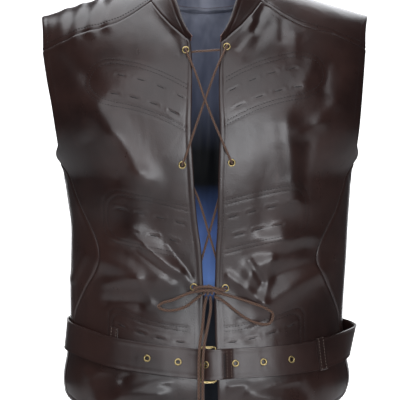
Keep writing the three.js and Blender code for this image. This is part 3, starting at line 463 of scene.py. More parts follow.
def form_point(angle, rise):
    """A point of the form, by its angle round it and its rise over the chest level."""
    angle, rise = np.broadcast_arrays(np.asarray(angle, float), np.asarray(rise, float))
    sine, cosine = np.sin(np.radians(angle)), np.cos(np.radians(angle))
    sign = np.where(sine < 0, -1.0, 1.0)
    z = CHEST_Z + np.minimum(rise, 0)
    x = sign * half_width(z, sign) * np.abs(sine) ** (2 / SECTION_POWER)
    depth = np.where(cosine > 0, read(SECTIONS, "z", "front", z), read(SECTIONS, "z", "back", z))
    depth = depth * np.abs(cosine) ** (2 / SECTION_POWER)
    turn = np.maximum(rise, 0) / SHOULDER_ARC * (math.pi / 2)
    y = np.where(cosine > 0, -depth, depth) * np.cos(turn)
    return np.stack([x, y, z + (shoulder_z(x) - CHEST_Z) * np.sin(turn)], axis=-1)


def rise_at(x, z):
    """The rise at which the form reaches height z, at a sideways place x."""
    share = np.clip((z - CHEST_Z) / (shoulder_z(x) - CHEST_Z), 0, 1)
    return np.where(z <= CHEST_Z, z - CHEST_Z, np.arcsin(share) / (math.pi / 2) * SHOULDER_ARC)


def form_normal(angle, rise):
    step = 0.4
    over = np.minimum(rise + step, SHOULDER_ARC)
    across = form_point(angle + step, rise) - form_point(angle - step, rise)
    up = form_point(angle, over) - form_point(angle, over - 2 * step)
    return unit(np.cross(across, up))


def form_frame(angle, rise):
    """Point and outward direction of the form."""
    return form_point(angle, rise), form_normal(angle, rise)


def front_frame(x, z):
    """Point, outward direction and angle of the front at x and z."""
    angle = front_angle(x, z)
    return *form_frame(angle, rise_at(x, z)), angle


def belt_z(angle):
    return by_side(BELT_LINE, "angle", np.abs(angle), angle)


def ridge_height(rows, point, is_back):
    """Summed height of a table's ridges at points of the form."""
    x, z = point[..., 0], point[..., 2]
    height = np.zeros(x.shape)
    for *ends, width, high, face in np.array(list(rows.values())).T:
        off = np.hypot(*off_segment(x, z, *ends))
        height += high * bump_at(off, width) * (is_back == bool(face))
    return height


def fold_height(point, angle):
    """Height of the folds: the main ones of the cut, and the leather's lesser creases."""
    is_back = np.cos(np.radians(angle)) <= 0
    edge = by_side(FRONT_EDGES, "z", point[..., 2], point[..., 0])
    from_edge = np.where(is_back, 1e3, np.abs(point[..., 0]) - edge)
    from_belt = np.abs(point[..., 2] - belt_z(angle))
    folds = ridge_height(FOLDS, point, is_back) * smooth((from_edge - FOLD_FREE_EDGE) / FOLD_FADE)
    creases = ridge_height(CREASES, point, is_back) * smooth((from_edge - CREASE_FREE_EDGE) / CREASE_FADE)
    folds = folds * smooth((from_belt - BELT_FOLD_GAP) / FOLD_FADE + 0.5)
    return folds + creases * smooth((from_belt - BELT_CREASE_GAP) / CREASE_FADE)


def front_point(x, z, out):
    """Points of the front by x and z, moved out from the form."""
    x, z, out = (np.asarray(v, float) for v in (x, z, out))
    point, normal, _ = front_frame(x, z)
    return point + normal * out[..., None]


# ---- panels: each gives the angle and rise of a place across it and up it, both 0 to 1 ----

LOW_ROWS = 15
ROWS = 23
NECK_COLUMNS = 5
YOKE_COLUMNS = 8
BACK_NECK_COLUMNS = 3


def hem_z(angle):
    return HEM_MEAN_Z - HEM_SWING * np.cos(np.radians(2 * angle))


def armhole_angle(z, sign):
    return angle_of_share(by_side(ARMHOLE_EDGES, "z", z, sign) / half_width(z, sign))


def front_outer_angle(z, sign):
    seam = read(FRONT_SIDE_SEAM, "z", "angle", z)
    lead = smooth((z - ARMHOLE_FOOT_Z) / ARMHOLE_LEAD)
    return np.where(z < ARMHOLE_FOOT_Z, seam, mix(seam, armhole_angle(z, sign), lead))


def back_outer_angle(z, sign):
    lead = smooth((z - ARMHOLE_FOOT_Z) / ARMHOLE_LEAD)
    high = 180 - mix(180 - BACK_SIDE_SEAM_ANGLE, armhole_angle(z, sign), lead)
    return np.where(z < ARMHOLE_FOOT_Z, BACK_SIDE_SEAM_ANGLE, high)


def front_inner_angle(z, sign):
    return angle_of_share(by_side(FRONT_EDGES, "z", z, sign) / half_width(z, sign))


def top_z(rows, x):
    """Height of a panel's top edge at x."""
    return np.interp(x, rows["x"], rows["z"])


def settle(start, rows, sign, edges):
    """The x where a top edge meets one of the side edges."""
    x = float(start)
    for _ in range(6):
        x = float(by_side(edges, "z", top_z(rows, x), sign))
    return x


def seam_end_x(rows, sign):
    return settle(210, rows, sign, ARMHOLE_EDGES)


def panel(sign, inner, outer, tops, counts, top_rows, is_back):
    """A panel from the hem to a top edge, as a function of places across and up it."""
    last = sum(counts)

    def where(across, up):
        across, up = np.broadcast_arrays(np.asarray(across, float), np.asarray(up, float))
        top_x = np.interp(across * last, [0, counts[0], last], tops)
        z = top_z(top_rows, top_x)
        top_rise = rise_at(top_x, z)
        top_angle = angle_of_share(top_x / half_width(z, sign))
        top_angle = 180 - top_angle if is_back else top_angle
        top_share = np.clip((top_angle - inner(z)) / (outer(z) - inner(z)), 0, 1)
        share = mix(across, top_share, smooth(up))
        hem_angle = mix(inner(HEM_MEAN_Z), outer(HEM_MEAN_Z), share)
        hem_rise = hem_z(hem_angle) - CHEST_Z
        foot = ARMHOLE_FOOT_Z - CHEST_Z
        row = up * ROWS
        low = mix(hem_rise, foot, row / LOW_ROWS)
        high = mix(foot, top_rise, (row - LOW_ROWS) / (ROWS - LOW_ROWS))
        rise = np.where(row <= LOW_ROWS, low, high)
        angle = inner(CHEST_Z + np.minimum(rise, 0))
        for _ in range(8):
            z = form_point(sign * angle, rise)[..., 2]
            angle = mix(inner(z), outer(z), share)
        return sign * angle, rise

    return where


def front_panel(sign):
    start = settle(20, FRONT_TOP, sign, FRONT_EDGES)
    return panel(
        sign,
        lambda z: front_inner_angle(z, sign),
        lambda z: front_outer_angle(z, sign),
        [start, FRONT_YOKE_CORNER_X, seam_end_x(FRONT_TOP, sign)],
        [NECK_COLUMNS, YOKE_COLUMNS],
        FRONT_TOP,
        False,
    )


def back_panel(across, up):
    """The whole back: across runs from the wearer's right to the left."""
    across, up = np.broadcast_arrays(np.asarray(across, float), np.asarray(up, float))
    places = []
    for sign in (-1, 1):
        where = panel(
            sign,
            lambda z: np.full(np.shape(z), 180.0),
            lambda z, sign=sign: back_outer_angle(z, sign),
            [0, BACK_YOKE_CORNER_X, seam_end_x(BACK_TOP, sign)],
            [BACK_NECK_COLUMNS, YOKE_COLUMNS],
            BACK_TOP,
            True,
        )
        places.append(where(np.abs(2 * across - 1), up))
    is_left = across > 0.5
    return tuple(np.where(is_left, left, right) for right, left in zip(*places))


def side_panel(sign):
    def where(across, up):
        hem = mix(read(FRONT_SIDE_SEAM, "z", "angle", HEM_MEAN_Z), BACK_SIDE_SEAM_ANGLE, across)
        top = ARMHOLE_FOOT_Z - ARMHOLE_DIP * (1 - (2 * across - 1) ** 2)
        z = mix(hem_z(hem), top, up)
        seam = read(FRONT_SIDE_SEAM, "z", "angle", z)
        return sign * mix(seam, BACK_SIDE_SEAM_ANGLE, across), z - CHEST_Z

    return where


def yoke_panel(sign):
    """Across runs from the front seam over the shoulder to the back seam, up from neck to armhole."""

    def where(across, up):
        across, up = np.broadcast_arrays(np.asarray(across, float), np.asarray(up, float))
        front_x = mix(FRONT_YOKE_CORNER_X, seam_end_x(FRONT_TOP, sign), up)
        back_x = mix(BACK_YOKE_CORNER_X, seam_end_x(BACK_TOP, sign), up)
        crest_x = mix(NECK_HALF, by_side(ARMHOLE_EDGES, "z", SHOULDER_TIP_Z, sign), up)
        start = rise_at(front_x, top_z(FRONT_TOP, front_x))
        end = rise_at(back_x, top_z(BACK_TOP, back_x))
        way = mix(start, 2 * SHOULDER_ARC - end, across)
        is_front = way <= SHOULDER_ARC
        to_crest = np.where(
            is_front,
            (way - start) / (SHOULDER_ARC - start),
            (2 * SHOULDER_ARC - end - way) / (SHOULDER_ARC - end),
        )
        x = mix(np.where(is_front, front_x, back_x), crest_x, smooth(to_crest))
        angle = angle_of_share(x / SLEEVELESS_HALF)
        rise = np.where(is_front, way, 2 * SHOULDER_ARC - way)
        return sign * np.where(is_front, angle, 180 - angle), rise

    return where


# ---- mesh helpers ----


def vertex_grid(columns, rows):
    """A bmesh grid, with each vertex's place across and up it."""
    bm = bmesh.new()
    bmesh.ops.create_grid(bm, x_segments=columns, y_segments=rows, size=0.5)
    flat = np.array([v.co[:2] for v in bm.verts])
    low, high = flat.min(0), flat.max(0)
    return bm, (flat - low) / (high - low)


def set_uv(bm, flat):
    """Writes each vertex's place across and up as the UV map."""
    layer = bm.loops.layers.uv.new("UVMap")
    for face in bm.faces:
        for loop in face.loops:
            loop[layer].uv = flat[loop.vert.index]


def absorb(bm, piece):
    """Joins a finished bmesh to another, and frees it."""
    mesh = bpy.data.meshes.new("piece")
    piece.to_mesh(mesh)
    piece.free()
    bm.from_mesh(mesh)
    bpy.data.meshes.remove(mesh)


def put(bm, points):
    for vert, point in zip(bm.verts, points * MM):
        vert.co = point


def mesh_object(name, bm, materials):
    """A shaded, linked object from a bmesh, which is freed."""
    mesh = bpy.data.meshes.new(name)
    bm.to_mesh(mesh)
    bm.free()
    mesh.shade_smooth()
    for material in materials:
        mesh.materials.append(material)
    obj = bpy.data.objects.new(name, mesh)
    bpy.context.scene.collection.objects.link(obj)
    return obj


def dress(obj, slot, *nodes):
    """The piece rides on the vest and stands for its nodes; slot is not used."""
    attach(obj, BODY)
    if nodes:
        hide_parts(*nodes)
    return obj


def thicken(obj, thickness, offset=-1.0, inner_material=0, rim_material=0, rounding=0.35):
    wall = obj.modifiers.new("Wall", "SOLIDIFY")
    wall.thickness = thickness * MM
    wall.offset = offset
    wall.material_offset = inner_material
    wall.material_offset_rim = rim_material
    edge = obj.modifiers.new("Edge", "BEVEL")
    edge.width = rounding * MM
    edge.segments = 2
    edge.limit_method = "ANGLE"
    edge.angle_limit = math.radians(55)
    return obj


# ---- materials ----


def new_material(name):
    material = bpy.data.materials.new(name)
    material.use_nodes = True
    tree = material.node_tree
    return material, tree, tree.nodes["Principled BSDF"]


def feed(tree, socket, value):
    """Sets a socket, or links it where the value is a socket."""
    if isinstance(value, bpy.types.NodeSocket):
        tree.links.new(value, socket)
    else:
        socket.default_value = (*value, 1) if isinstance(value, tuple) and socket.type == "RGBA" else value


def feed_all(tree, made, values):
    for name, value in values.items():
        feed(tree, made.inputs[name], value)


def node(tree, kind, **inputs):
    """A shader node with its inputs set or linked."""
    made = tree.nodes.new(kind)
    feed_all(tree, made, inputs)
    return made


def ramp(tree, factor, stops):
    """A colour ramp; stops are (place, grey or colour)."""
    made = tree.nodes.new("ShaderNodeValToRGB")
    tree.links.new(factor, made.inputs["Fac"])
    band = made.color_ramp
    while len(band.elements) < len(stops):
        band.elements.new(0.5)
    for element, (place, tone) in zip(band.elements, stops):
        element.position = place
        rgb = (tone,) * 3 if isinstance(tone, (int, float)) else tuple(tone)
        element.color = (*rgb, 1)
    return made.outputs["Color"]


def blend_of(tree, factor, a, b, kind="MIX"):
    made = tree.nodes.new("ShaderNodeMix")
    made.data_type = "RGBA"
    made.blend_type = kind
    feed(tree, next(s for s in made.inputs if s.name == "Factor" and s.type == "VALUE"), factor)
    for name, value in (("A", a), ("B", b)):
        feed(tree, next(s for s in made.inputs if s.name == name and s.type == "RGBA"), value)
    return next(s for s in made.outputs if s.type == "RGBA")


def math_of(tree, operation, *values):
    made = tree.nodes.new("ShaderNodeMath")
    made.operation = operation
    for socket, value in zip(made.inputs, values):
        feed(tree, socket, value)
    return made.outputs["Value"]


def noise_of(tree, coordinates, scale, detail=3.0, roughness=0.5, distortion=0.0):
    values = {"Scale": scale, "Detail": detail, "Roughness": roughness, "Distortion": distortion}
    return node(tree, "ShaderNodeTexNoise", Vector=coordinates, **values).outputs["Fac"]


def object_coordinates(tree, stretch=(1, 1, 1)):
    place = tree.nodes.new("ShaderNodeTexCoord").outputs["Object"]
    return node(tree, "ShaderNodeMapping", Vector=place, Scale=stretch).outputs["Vector"]


def bumped(tree, height, distance, strength, under=None):
    made = node(tree, "ShaderNodeBump", Height=height, Distance=distance, Strength=strength)
    if under is not None:
        feed_all(tree, made, {"Normal": under})
    return made.outputs["Normal"]


def leather_material(name, deep, worn, roughness, grain):
    """Soft, finely pebbled leather: patchy brown, with fine scuffs."""
    material, tree, shader = new_material(name)
    place = object_coordinates(tree)
    patches = noise_of(tree, place, 9.0, 4.0, 0.6)
    scuffs = noise_of(tree, object_coordinates(tree, (1, 1, 0.35)), 60.0, 5.0, 0.7)
    tone = ramp(tree, patches, ((0.35, deep), (0.7, worn)))
    scuffed = tuple(min(1, c * 1.8) for c in worn)
    pebbles = node(tree, "ShaderNodeTexVoronoi", Vector=place, Scale=1 / grain, Randomness=1.0)
    pebbles.feature = "SMOOTH_F1"
    fine = bumped(tree, pebbles.outputs["Distance"], 0.00016, 0.35)
    wrinkles = noise_of(tree, object_coordinates(tree, (1, 1, 0.7)), 24.0, 2.0, 0.45, 0.4)
    values = {
        "Base Color": blend_of(tree, ramp(tree, scuffs, ((0.62, 0.0), (0.8, 0.4))), tone, scuffed),
        "Roughness": math_of(tree, "MULTIPLY_ADD", scuffs, 0.16, roughness - 0.08),
        "Normal": bumped(tree, wrinkles, 0.003, 0.4, fine),
        "Specular IOR Level": 0.62,
    }
    feed_all(tree, shader, values)
    return material


# Painted light and shade on the satin by its drop under the neck points in metres: paler warm tones near
# the neck, a painted shadow band deep inside the vest, a painted lit blue band lower down and painted
# shade below it.
SATIN_PAINTED_LIGHT_AND_SHADE = (
    (0.0, (0.44, 0.36, 0.3)),
    (0.14, (0.3, 0.26, 0.25)),
    (0.22, 0.006),
    (0.265, 0.006),
    (0.335, (0.42, 0.55, 0.85)),
    (0.4, (0.5, 0.68, 1.0)),
    (0.43, 0.02),
    (0.6, 0.01),
)


def satin_material(name, face, shade):
    """Fine satin: a smooth face with long soft streaks of painted sheen and shade, painted light and shade
    by height, and a tight weave.
    """
    material, tree, shader = new_material(name)
    # Painted sheen streaks: long noise between the painted shade colour and the satin face.
    streaks = noise_of(tree, object_coordinates(tree, (1, 1, 0.18)), 26.0, 3.0, 0.55)
    tone = ramp(tree, streaks, ((0.34, shade), (0.6, face)))
    # Painted light and shade: the colour is multiplied by a ramp of the drop under the neck points.
    place = tree.nodes.new("ShaderNodeTexCoord").outputs["Object"]
    height = node(tree, "ShaderNodeSeparateXYZ", Vector=place).outputs["Z"]
    depth = ramp(tree, math_of(tree, "MULTIPLY", height, -1.0), SATIN_PAINTED_LIGHT_AND_SHADE)
    weave = noise_of(tree, object_coordinates(tree, (1, 1, 0.25)), 900.0, 2.0, 0.5)
    values = {
        "Base Color": blend_of(tree, 1.0, tone, depth, "MULTIPLY"),
        "Normal": bumped(tree, weave, 0.0002, 0.25),
        "Roughness": 0.36,
        "Specular IOR Level": 0.12,
        "Sheen Weight": 0.02,
        "Sheen Roughness": 0.35,
        "Sheen Tint": (0.62, 0.72, 1.0),
    }
    feed_all(tree, shader, values)
    return material


def spotted(tree, spots, low, high, share, colour):
    """A colour that deepens to a share of itself where a noise is low."""
    return ramp(tree, spots, ((low, tuple(share * c for c in colour)), (high, colour)))


def brass_material(name, colour, roughness):
    """Polished brass, a little dulled in patches."""
    material, tree, shader = new_material(name)
    spots = noise_of(tree, object_coordinates(tree), 320.0, 3.0, 0.6)
    values = {
        "Base Color": spotted(tree, spots, 0.3, 0.65, 0.6, colour),
        "Roughness": math_of(tree, "MULTIPLY_ADD", spots, 0.22, roughness - 0.1),
        "Metallic": 1.0,
    }
    feed_all(tree, shader, values)
    return material


def braid_material(name, light, dark):
    """Braided cord with painted shade between its strands; the UV map counts strands round it and
    crossings along it.
    """
    material, tree, shader = new_material(name)
    uv = tree.nodes.new("ShaderNodeUVMap")
    uv.uv_map = "UVMap"
    split = node(tree, "ShaderNodeSeparateXYZ", Vector=uv.outputs["UV"]).outputs
    waves = []
    for way in ("ADD", "SUBTRACT"):
        turn = math_of(tree, "MULTIPLY", math_of(tree, way, split["X"], split["Y"]), math.pi)
        waves.append(math_of(tree, "ABSOLUTE", math_of(tree, "SINE", turn)))
    crossing = math_of(tree, "MULTIPLY", *waves)
    fibres = noise_of(tree, object_coordinates(tree), 1500.0, 2.0, 0.6)
    shape = math_of(tree, "ADD", crossing, math_of(tree, "MULTIPLY", fibres, 0.5))
    values = {
        # Painted shade: the colour darkens where the strands dip between each other.
        "Base Color": ramp(tree, shape, ((0.35, dark), (0.85, light))),
        "Normal": bumped(tree, shape, 0.0005, 0.6),
        "Roughness": 0.62,
        "Sheen Weight": 0.2,
    }
    feed_all(tree, shader, values)
    return material


def thread_material(name, colour):
    """Waxed sewing thread."""
    material, tree, shader = new_material(name)
    twist = noise_of(tree, object_coordinates(tree), 1400.0, 2.0, 0.5)
    tone = spotted(tree, twist, 0.3, 0.7, 0.55, colour)
    feed_all(tree, shader, {"Base Color": tone, "Roughness": 0.5})
    return material


def paper_material(name, tone, glow):
    """Matt studio paper."""
    material, tree, shader = new_material(name)
    fibre = noise_of(tree, object_coordinates(tree), 30.0, 2.0, 0.5)
    values = {
        "Base Color": ramp(tree, fibre, ((0.0, tone - 0.01), (1.0, tone))),
        "Roughness": 0.9,
        "Emission Color": (1.0, 1.0, 1.0),
        "Emission Strength": glow,
    }
    feed_all(tree, shader, values)
    return material


def materials(context):
    """The vest's materials, made once."""
    scene = context.scene
    leather, satin = scene.vest_leather, scene.vest_satin
    lace, brass = scene.vest_lace, scene.vest_brass
    deep, worn = tuple(leather.deep), tuple(leather.worn)
    raw = [tuple(times * c for c in worn) for times in (3, 5)]
    recipes = {
        "Vest leather": (leather_material, deep, worn, leather.roughness, leather.grain),
        "Belt leather": (leather_material, deep, worn, leather.roughness + 0.04, leather.grain * 0.7),
        "Cut edge": (leather_material, *raw, 0.5, leather.grain),
        "Lining satin": (satin_material, tuple(satin.face), tuple(satin.shade)),
        "Brass": (brass_material, tuple(brass.colour), brass.roughness),
        "Lace braid": (braid_material, tuple(lace.light), tuple(lace.dark)),
        # Dark thread: for the stitches, and for the beads of painted shadow in the slashes and at the
        # belt's end.
        "Dark thread": (thread_material, (0.012, 0.006, 0.006)),
        "Pale thread": (thread_material, (0.2, 0.15, 0.12)),
    }
    for name, (make, *values) in recipes.items():
        if name not in bpy.data.materials:
            make(name, *values)
    return bpy.data.materials


# ---- ornament: three stitched chevron bands on each front, with rows of slashes ----

# centre is the height of a band's top line at the front edge and raise what the wearer's left adds
# to it, lift its rise for each mm outwards and flatten how that fades, deep its height, reach how far
# out it goes, corner the size of its outer corners, and first_row the drop of its first slashes.
BANDS = table(
    "centre raise lift flatten deep reach corner first_row",
    (-451, 0, 0.1, -0.0018, 66, 126, 16, 20),
    (-296, 8, 0.27, 0.0004, 68, 132, 22, 23),
    (-141, 9, 0.59, 0.0024, 61, 156, 40, 20),
)
BAND_START_X = 24
DOUBLE_LINE = 5.2
GROOVE = {"width": 1.5, "depth": 0.28}
SLASH = {"length": 12, "pitch": 25, "drop": 25, "rows": 2, "width": 1.5, "depth": 0.35}
SLASH_LIP = {"height": 0.25, "off": 3, "width": 1.8}


def band_z(band, x, drop):
    out = np.abs(x) - BAND_START_X
    top = band["centre"] + np.where(x > 0, band["raise"], 0)
    return top + band["lift"] * out - band["flatten"] * out * out - drop


def bands():
    return [dict(zip(BANDS, row)) for row in np.array(list(BANDS.values())).T]


def band_line(band, sign, inset):
    """One stitched line round a band: out along the top, round the outer end, back along the foot."""
    reach, corner = band["reach"] - inset, band["corner"]
    top, foot = inset, band["deep"] - inset
    down = min(corner, (foot - top) / 2)
    turn = np.linspace(0, math.pi / 2, 9)
    xs = np.linspace(BAND_START_X, reach - corner, 22)[:-1]
    corner_x = reach - corner * (1 - np.sin(turn))
    corner_drop = down * (1 - np.cos(turn))
    out_x = np.concatenate([xs, corner_x, corner_x[::-1], xs[::-1]])
    upper = np.concatenate([np.full(len(xs), top), top + corner_drop])
    drop = np.concatenate([upper, top + foot - upper[::-1]])
    return np.stack([sign * out_x, band_z(band, sign * out_x, drop)], axis=-1)


def ornament_lines(sign):
    return [band_line(b, sign, inset) for b in bands() for inset in (0, DOUBLE_LINE)]


def slashes(sign):
    """Both ends of each slash, in rows that follow the band's slope."""
    cuts = []
    for band in bands():
        for row in range(SLASH["rows"]):
            drop = band["first_row"] + SLASH["drop"] * row
            start = BAND_START_X + 4 + SLASH["pitch"] / 3 * row
            last = band["reach"] - band["corner"] / 2 - SLASH["length"]
            for x in np.arange(start, last, SLASH["pitch"]):
                ends = sign * np.array([x, x + SLASH["length"]])
                cuts.append(np.stack([ends, band_z(band, ends, drop)], axis=-1))
    return cuts


def distance_to(line, x, z):
    """Distance of places to a polyline, and the side of it they lie on (above is positive)."""
    best, above = np.full(x.shape, 1e9), np.zeros(x.shape)
    for (x0, z0), (x1, z1) in zip(line[:-1], line[1:]):
        off_x, off_z = off_segment(x, z, x0, z0, x1, z1)
        off = np.hypot(off_x, off_z)
        nearer = off < best
        best = np.where(nearer, off, best)
        above = np.where(nearer, off_z, above)
    return best, above


def ornament_height(x, z, sign):
    """Grooves of the stitched lines, and the slashes with their lifted lips."""
    height = np.zeros(x.shape)
    for line in ornament_lines(sign):
        off, _ = distance_to(line, x, z)
        height -= GROOVE["depth"] * bump_at(off, GROOVE["width"])
    for cut in slashes(sign):
        off, above = distance_to(cut, x, z)
        height -= SLASH["depth"] * bump_at(off, SLASH["width"])
        height += SLASH_LIP["height"] * bump_at(off - SLASH_LIP["off"], SLASH_LIP["width"]) * (above > 0)
    return height


# ---- leather walls ----


# Ridges and troughs along an edge: height, distance from the edge and width of each.
SEAM = ((-1.0, 0, 1.5), (0.25, 4.4, 2.8))
TURNED = ((-0.7, 0, 1.3), (-0.5, 7.4, 1.2))
TURNED_BAND = {"height": 0.5, "width": 5.6, "fade": 3}
YOKE_SEAM_STITCHES = ((-0.55, 5.5, 1.3),)
STRAP_EDGE = ((-0.5, 3.2, 1.2), (0.15, 0, 2.0))
LOOP_STITCHES = ((-0.3, 2.4, 0.9),)


def ridges(distance, rows):
    return sum(height * bump_at(distance - off, width) for height, off, width in rows)


def seam_profile(distance):
    """The leather dips into a seam and puffs up beside it."""
    return ridges(distance, SEAM)


def turned_profile(distance):
    """A turned edge: a doubled band with a rounded rim and a stitched groove behind it."""
    flat = 1 - smooth((distance - TURNED_BAND["width"]) / TURNED_BAND["fade"])
    return TURNED_BAND["height"] * flat + ridges(distance, TURNED)


def border_distances(points):
    """Distance of each point of a grid to its left, right, bottom and top borders, along the grid."""
    across = np.linalg.norm(np.diff(points, axis=1), axis=-1)
    up = np.linalg.norm(np.diff(points, axis=0), axis=-1)
    left = np.pad(np.cumsum(across, axis=1), ((0, 0), (1, 0)))
    bottom = np.pad(np.cumsum(up, axis=0), ((1, 0), (0, 0)))
    return {
        "left": left,
        "right": left[:, -1:] - left,
        "bottom": bottom,
        "top": bottom[-1:] - bottom,
    }


def wall_grid(where, columns, rows, out, edges=None, relief=None, folds=True):
    """Points of a wall's outer face as an array of rows, from a panel function."""
    across, up = np.meshgrid(np.linspace(0, 1, columns + 1), np.linspace(0, 1, rows + 1))
    angle, rise = where(across, up)
    point, normal = form_frame(angle, rise)
    height = fold_height(point, angle) if folds else np.zeros(angle.shape)
    away = border_distances(point)
    if edges is not None:
        height = height + edges(away, point)
    if relief is not None:
        height = height + relief(point)
    return point + normal * (out + height)[..., None], normal, away


def grid_object(name, points, normals, uv_scale, used_materials):
    """A mesh object from an array of points, made from a bmesh grid whose faces look outwards."""
    rows, columns = points.shape[0] - 1, points.shape[1] - 1
    bm, flat = vertex_grid(columns, rows)
    j = np.rint(flat[:, 0] * columns).astype(int)
    i = np.rint(flat[:, 1] * rows).astype(int)
    put(bm, points[i, j])
    set_uv(bm, flat * np.array(uv_scale))
    bm.normal_update()
    bm.faces.ensure_lookup_table()
    sample = [bm.faces[k] for k in range(0, len(bm.faces), max(1, len(bm.faces) // 200))]
    agreement = sum(
        face.normal.dot(Vector(normals[i[face.verts[0].index], j[face.verts[0].index]]))
        for face in sample
    )
    if agreement < 0:
        bmesh.ops.reverse_faces(bm, faces=bm.faces[:])
    return mesh_object(name, bm, used_materials)


def cut_holes(obj, centres, radius):
    """Deletes the faces round each centre, which the eyelets' flanges then hide."""
    bm = bmesh.new()
    bm.from_mesh(obj.data)
    gone = [
        face
        for face in bm.faces
        if any((face.calc_center_median() - centre).length < radius * MM for centre in centres)
    ]
    bmesh.ops.delete(bm, geom=gone, context="FACES")
    bm.to_mesh(obj.data)
    bm.free()


def flat_size(points):
    """Width, length and area of a grid's cut, in metres."""
    away = border_distances(points)
    width = away["left"][:, -1].max() * MM
    length = away["bottom"][-1].max() * MM
    a = points[1:, 1:] - points[:-1, :-1]
    b = points[1:, :-1] - points[:-1, 1:]
    area = np.linalg.norm(np.cross(a, b), axis=-1).sum() / 2 * MM * MM
    return width, length, area


def declare_sheet(points):
    width, length, area = flat_size(points)
    min(area, width * length)


def cells(points, cell):
    """Columns and rows for a cell size in metres, from a coarse grid of points."""
    away = border_distances(points)
    width = np.median(away["left"][:, -1]) * MM
    length = np.median(away["bottom"][-1]) * MM
    return max(2, round(width / cell)), max(2, round(length / cell))


COARSE = (24, 40)


def sew_wall(name, where, cell, stock, edges, relief=None, eyelets=(), inner_material=1):
    """A leather wall in place of its node; inside it shows satin unless a lining covers it."""
    coarse, _, _ = wall_grid(where, *COARSE, LEATHER)
    columns, rows = cells(coarse, cell)
    points, normals, _ = wall_grid(where, columns, rows, LEATHER, edges, relief)
    sides = [stock["Vest leather"], stock["Lining satin"]]
    obj = grid_object(f"{name}_leather", points, normals, (columns * cell, rows * cell), sides)
    thicken(obj, LEATHER, inner_material=inner_material)
    declare_sheet(coarse)
    if eyelets:
        cut_holes(obj, eyelets, EYELET["barrel"] + 0.4)
    return dress(obj, "leather", name)


# ---- cords ----

LACE_OUTS = (6.4, 2, -3.6, -8)


def through(number, outs):
    x, z = LACE_EYELETS[number - 1]
    return [(x, z, out) for out in outs]


LACE_ROUTE = [
    (-5.9, -398.2, 9.8),
    (-10.5, -398.3, 8.4),
    *through(1, LACE_OUTS),
    (-10, -378, -9),
    (4, -330, -10),
    (17, -285, -9),
    (28, -252, -8.4),
    *through(2, LACE_OUTS[::-1]),
    (27, -229, 6.4),
    (10, -190, 6.6),
    (-2, -160, 7.4),
    (-14, -126, 6),
    (-23, -105, 6.2),
    *through(3, LACE_OUTS),
    (-14, -94, -9),
    (0, -93, -9.6),
    (14, -92, -9),
    *through(4, LACE_OUTS[::-1]),
    (21, -103, 6.2),
    (11, -126, 6),
    (-1.5, -160, 3),
    (-14, -196, 5.6),
    (-26, -232, 6.4),
    *through(5, LACE_OUTS),
    (-25, -256, -8.4),
    (-10, -288, -7),
    (3, -330, -6),
    (15, -370, -8),
    *through(6, LACE_OUTS[::-1]),
    (17.5, -401, 8.6),
    (11.2, -401.8, 9.8),
]
LEFT_LOOP_ROUTE = [
    (11.4, -405.8, 10),
    (21, -407.6, 9),
    (33, -411, 7.4),
    (56, -419, 6.8),
    (76, -427, 6.6),
    (84, -434, 6.4),
    (80, -446, 6.2),
    (66, -446, 6.2),
    (50, -439, 6.6),
    (34, -427, 7.4),
    (22, -417, 9),
    (9.6, -409.6, 10.4),
]
RIGHT_LOOP_ROUTE = [
    (-6.4, -402.6, 10),
    (-14, -403.8, 10.4),
    (-26, -408, 8),
    (-43, -415.6, 7),
    (-56, -419.6, 6.6),
    (-60.4, -424, 6.4),
    (-55, -428, 6.4),
    (-43, -429, 6.8),
    (-27, -424.4, 7.6),
    (-14, -414.6, 9.4),
    (-5.6, -407.6, 10.4),
]
TAIL_ROUTES = (
    [
        (0.4, -409.4, 10.8),
        (-2.4, -424, 11.6),
        (-5, -450, 14),
        (-8, -472, 18),
        (-9.2, -490, 20),
        (-9.4, -515, 19.4),
        (-9.4, -534, 15.4),
        (-9.4, -541, 14),
    ],
    [
        (5, -409.4, 10.8),
        (5.4, -426, 11.6),
        (1.6, -450, 14),
        (-2.4, -472, 18.6),
        (-4.2, -490, 20.6),
        (-4.6, -515, 19.6),
        (-4.6, -538, 15.4),
        (-4.4, -552, 13.4),
    ],
)


def centripetal(points, closed=False, per_span=24):
    """A smooth line through points, evenly enough sampled to measure along."""
    count = len(points)
    if closed:
        ring = np.concatenate([points[-1:], points, points[:2]])
    else:
        ring = np.concatenate([[2 * points[0] - points[1]], points, [2 * points[-1] - points[-2]]])
    line = []
    for k in range(count if closed else count - 1):
        p0, p1, p2, p3 = ring[k : k + 4]
        d0, d1, d2 = (math.sqrt(np.linalg.norm(b - a)) for a, b in ((p0, p1), (p1, p2), (p2, p3)))
        t1 = ((p1 - p0) / d0 - (p2 - p0) / (d0 + d1) + (p2 - p1) / d1) * d1
        t2 = ((p2 - p1) / d1 - (p3 - p1) / (d1 + d2) + (p3 - p2) / d2) * d1
        for t in np.arange(per_span) / per_span:
            line.append(
                p1
                + t1 * t
                + (3 * (p2 - p1) - 2 * t1 - t2) * t * t
                + (2 * (p1 - p2) + t1 + t2) * t**3
            )
    line.append(points[0] if closed else points[-1])
    return np.array(line)


def evenly(line, step):
    """A line resampled at equal steps of about the given length."""
    gone = gone_along(line)
    count = max(2, round(gone[-1] / step))
    at = np.linspace(0, gone[-1], count + 1)
    return np.stack([np.interp(at, gone, line[:, k]) for k in range(3)], axis=-1)


def frames_along(line):
    """Two unit directions square to a line at each point, carried along it without twist."""
    way = unit(np.gradient(line, axis=0))
    side = np.zeros_like(line)
    first = np.cross(way[0], [0.0, 0.0, 1.0])
    if np.linalg.norm(first) < 0.2:
        first = np.cross(way[0], [1.0, 0.0, 0.0])
    side[0] = unit(first)
    for k in range(1, len(line)):
        side[k] = unit(side[k - 1] - way[k] * np.dot(side[k - 1], way[k]))
    return side, np.cross(way, side)


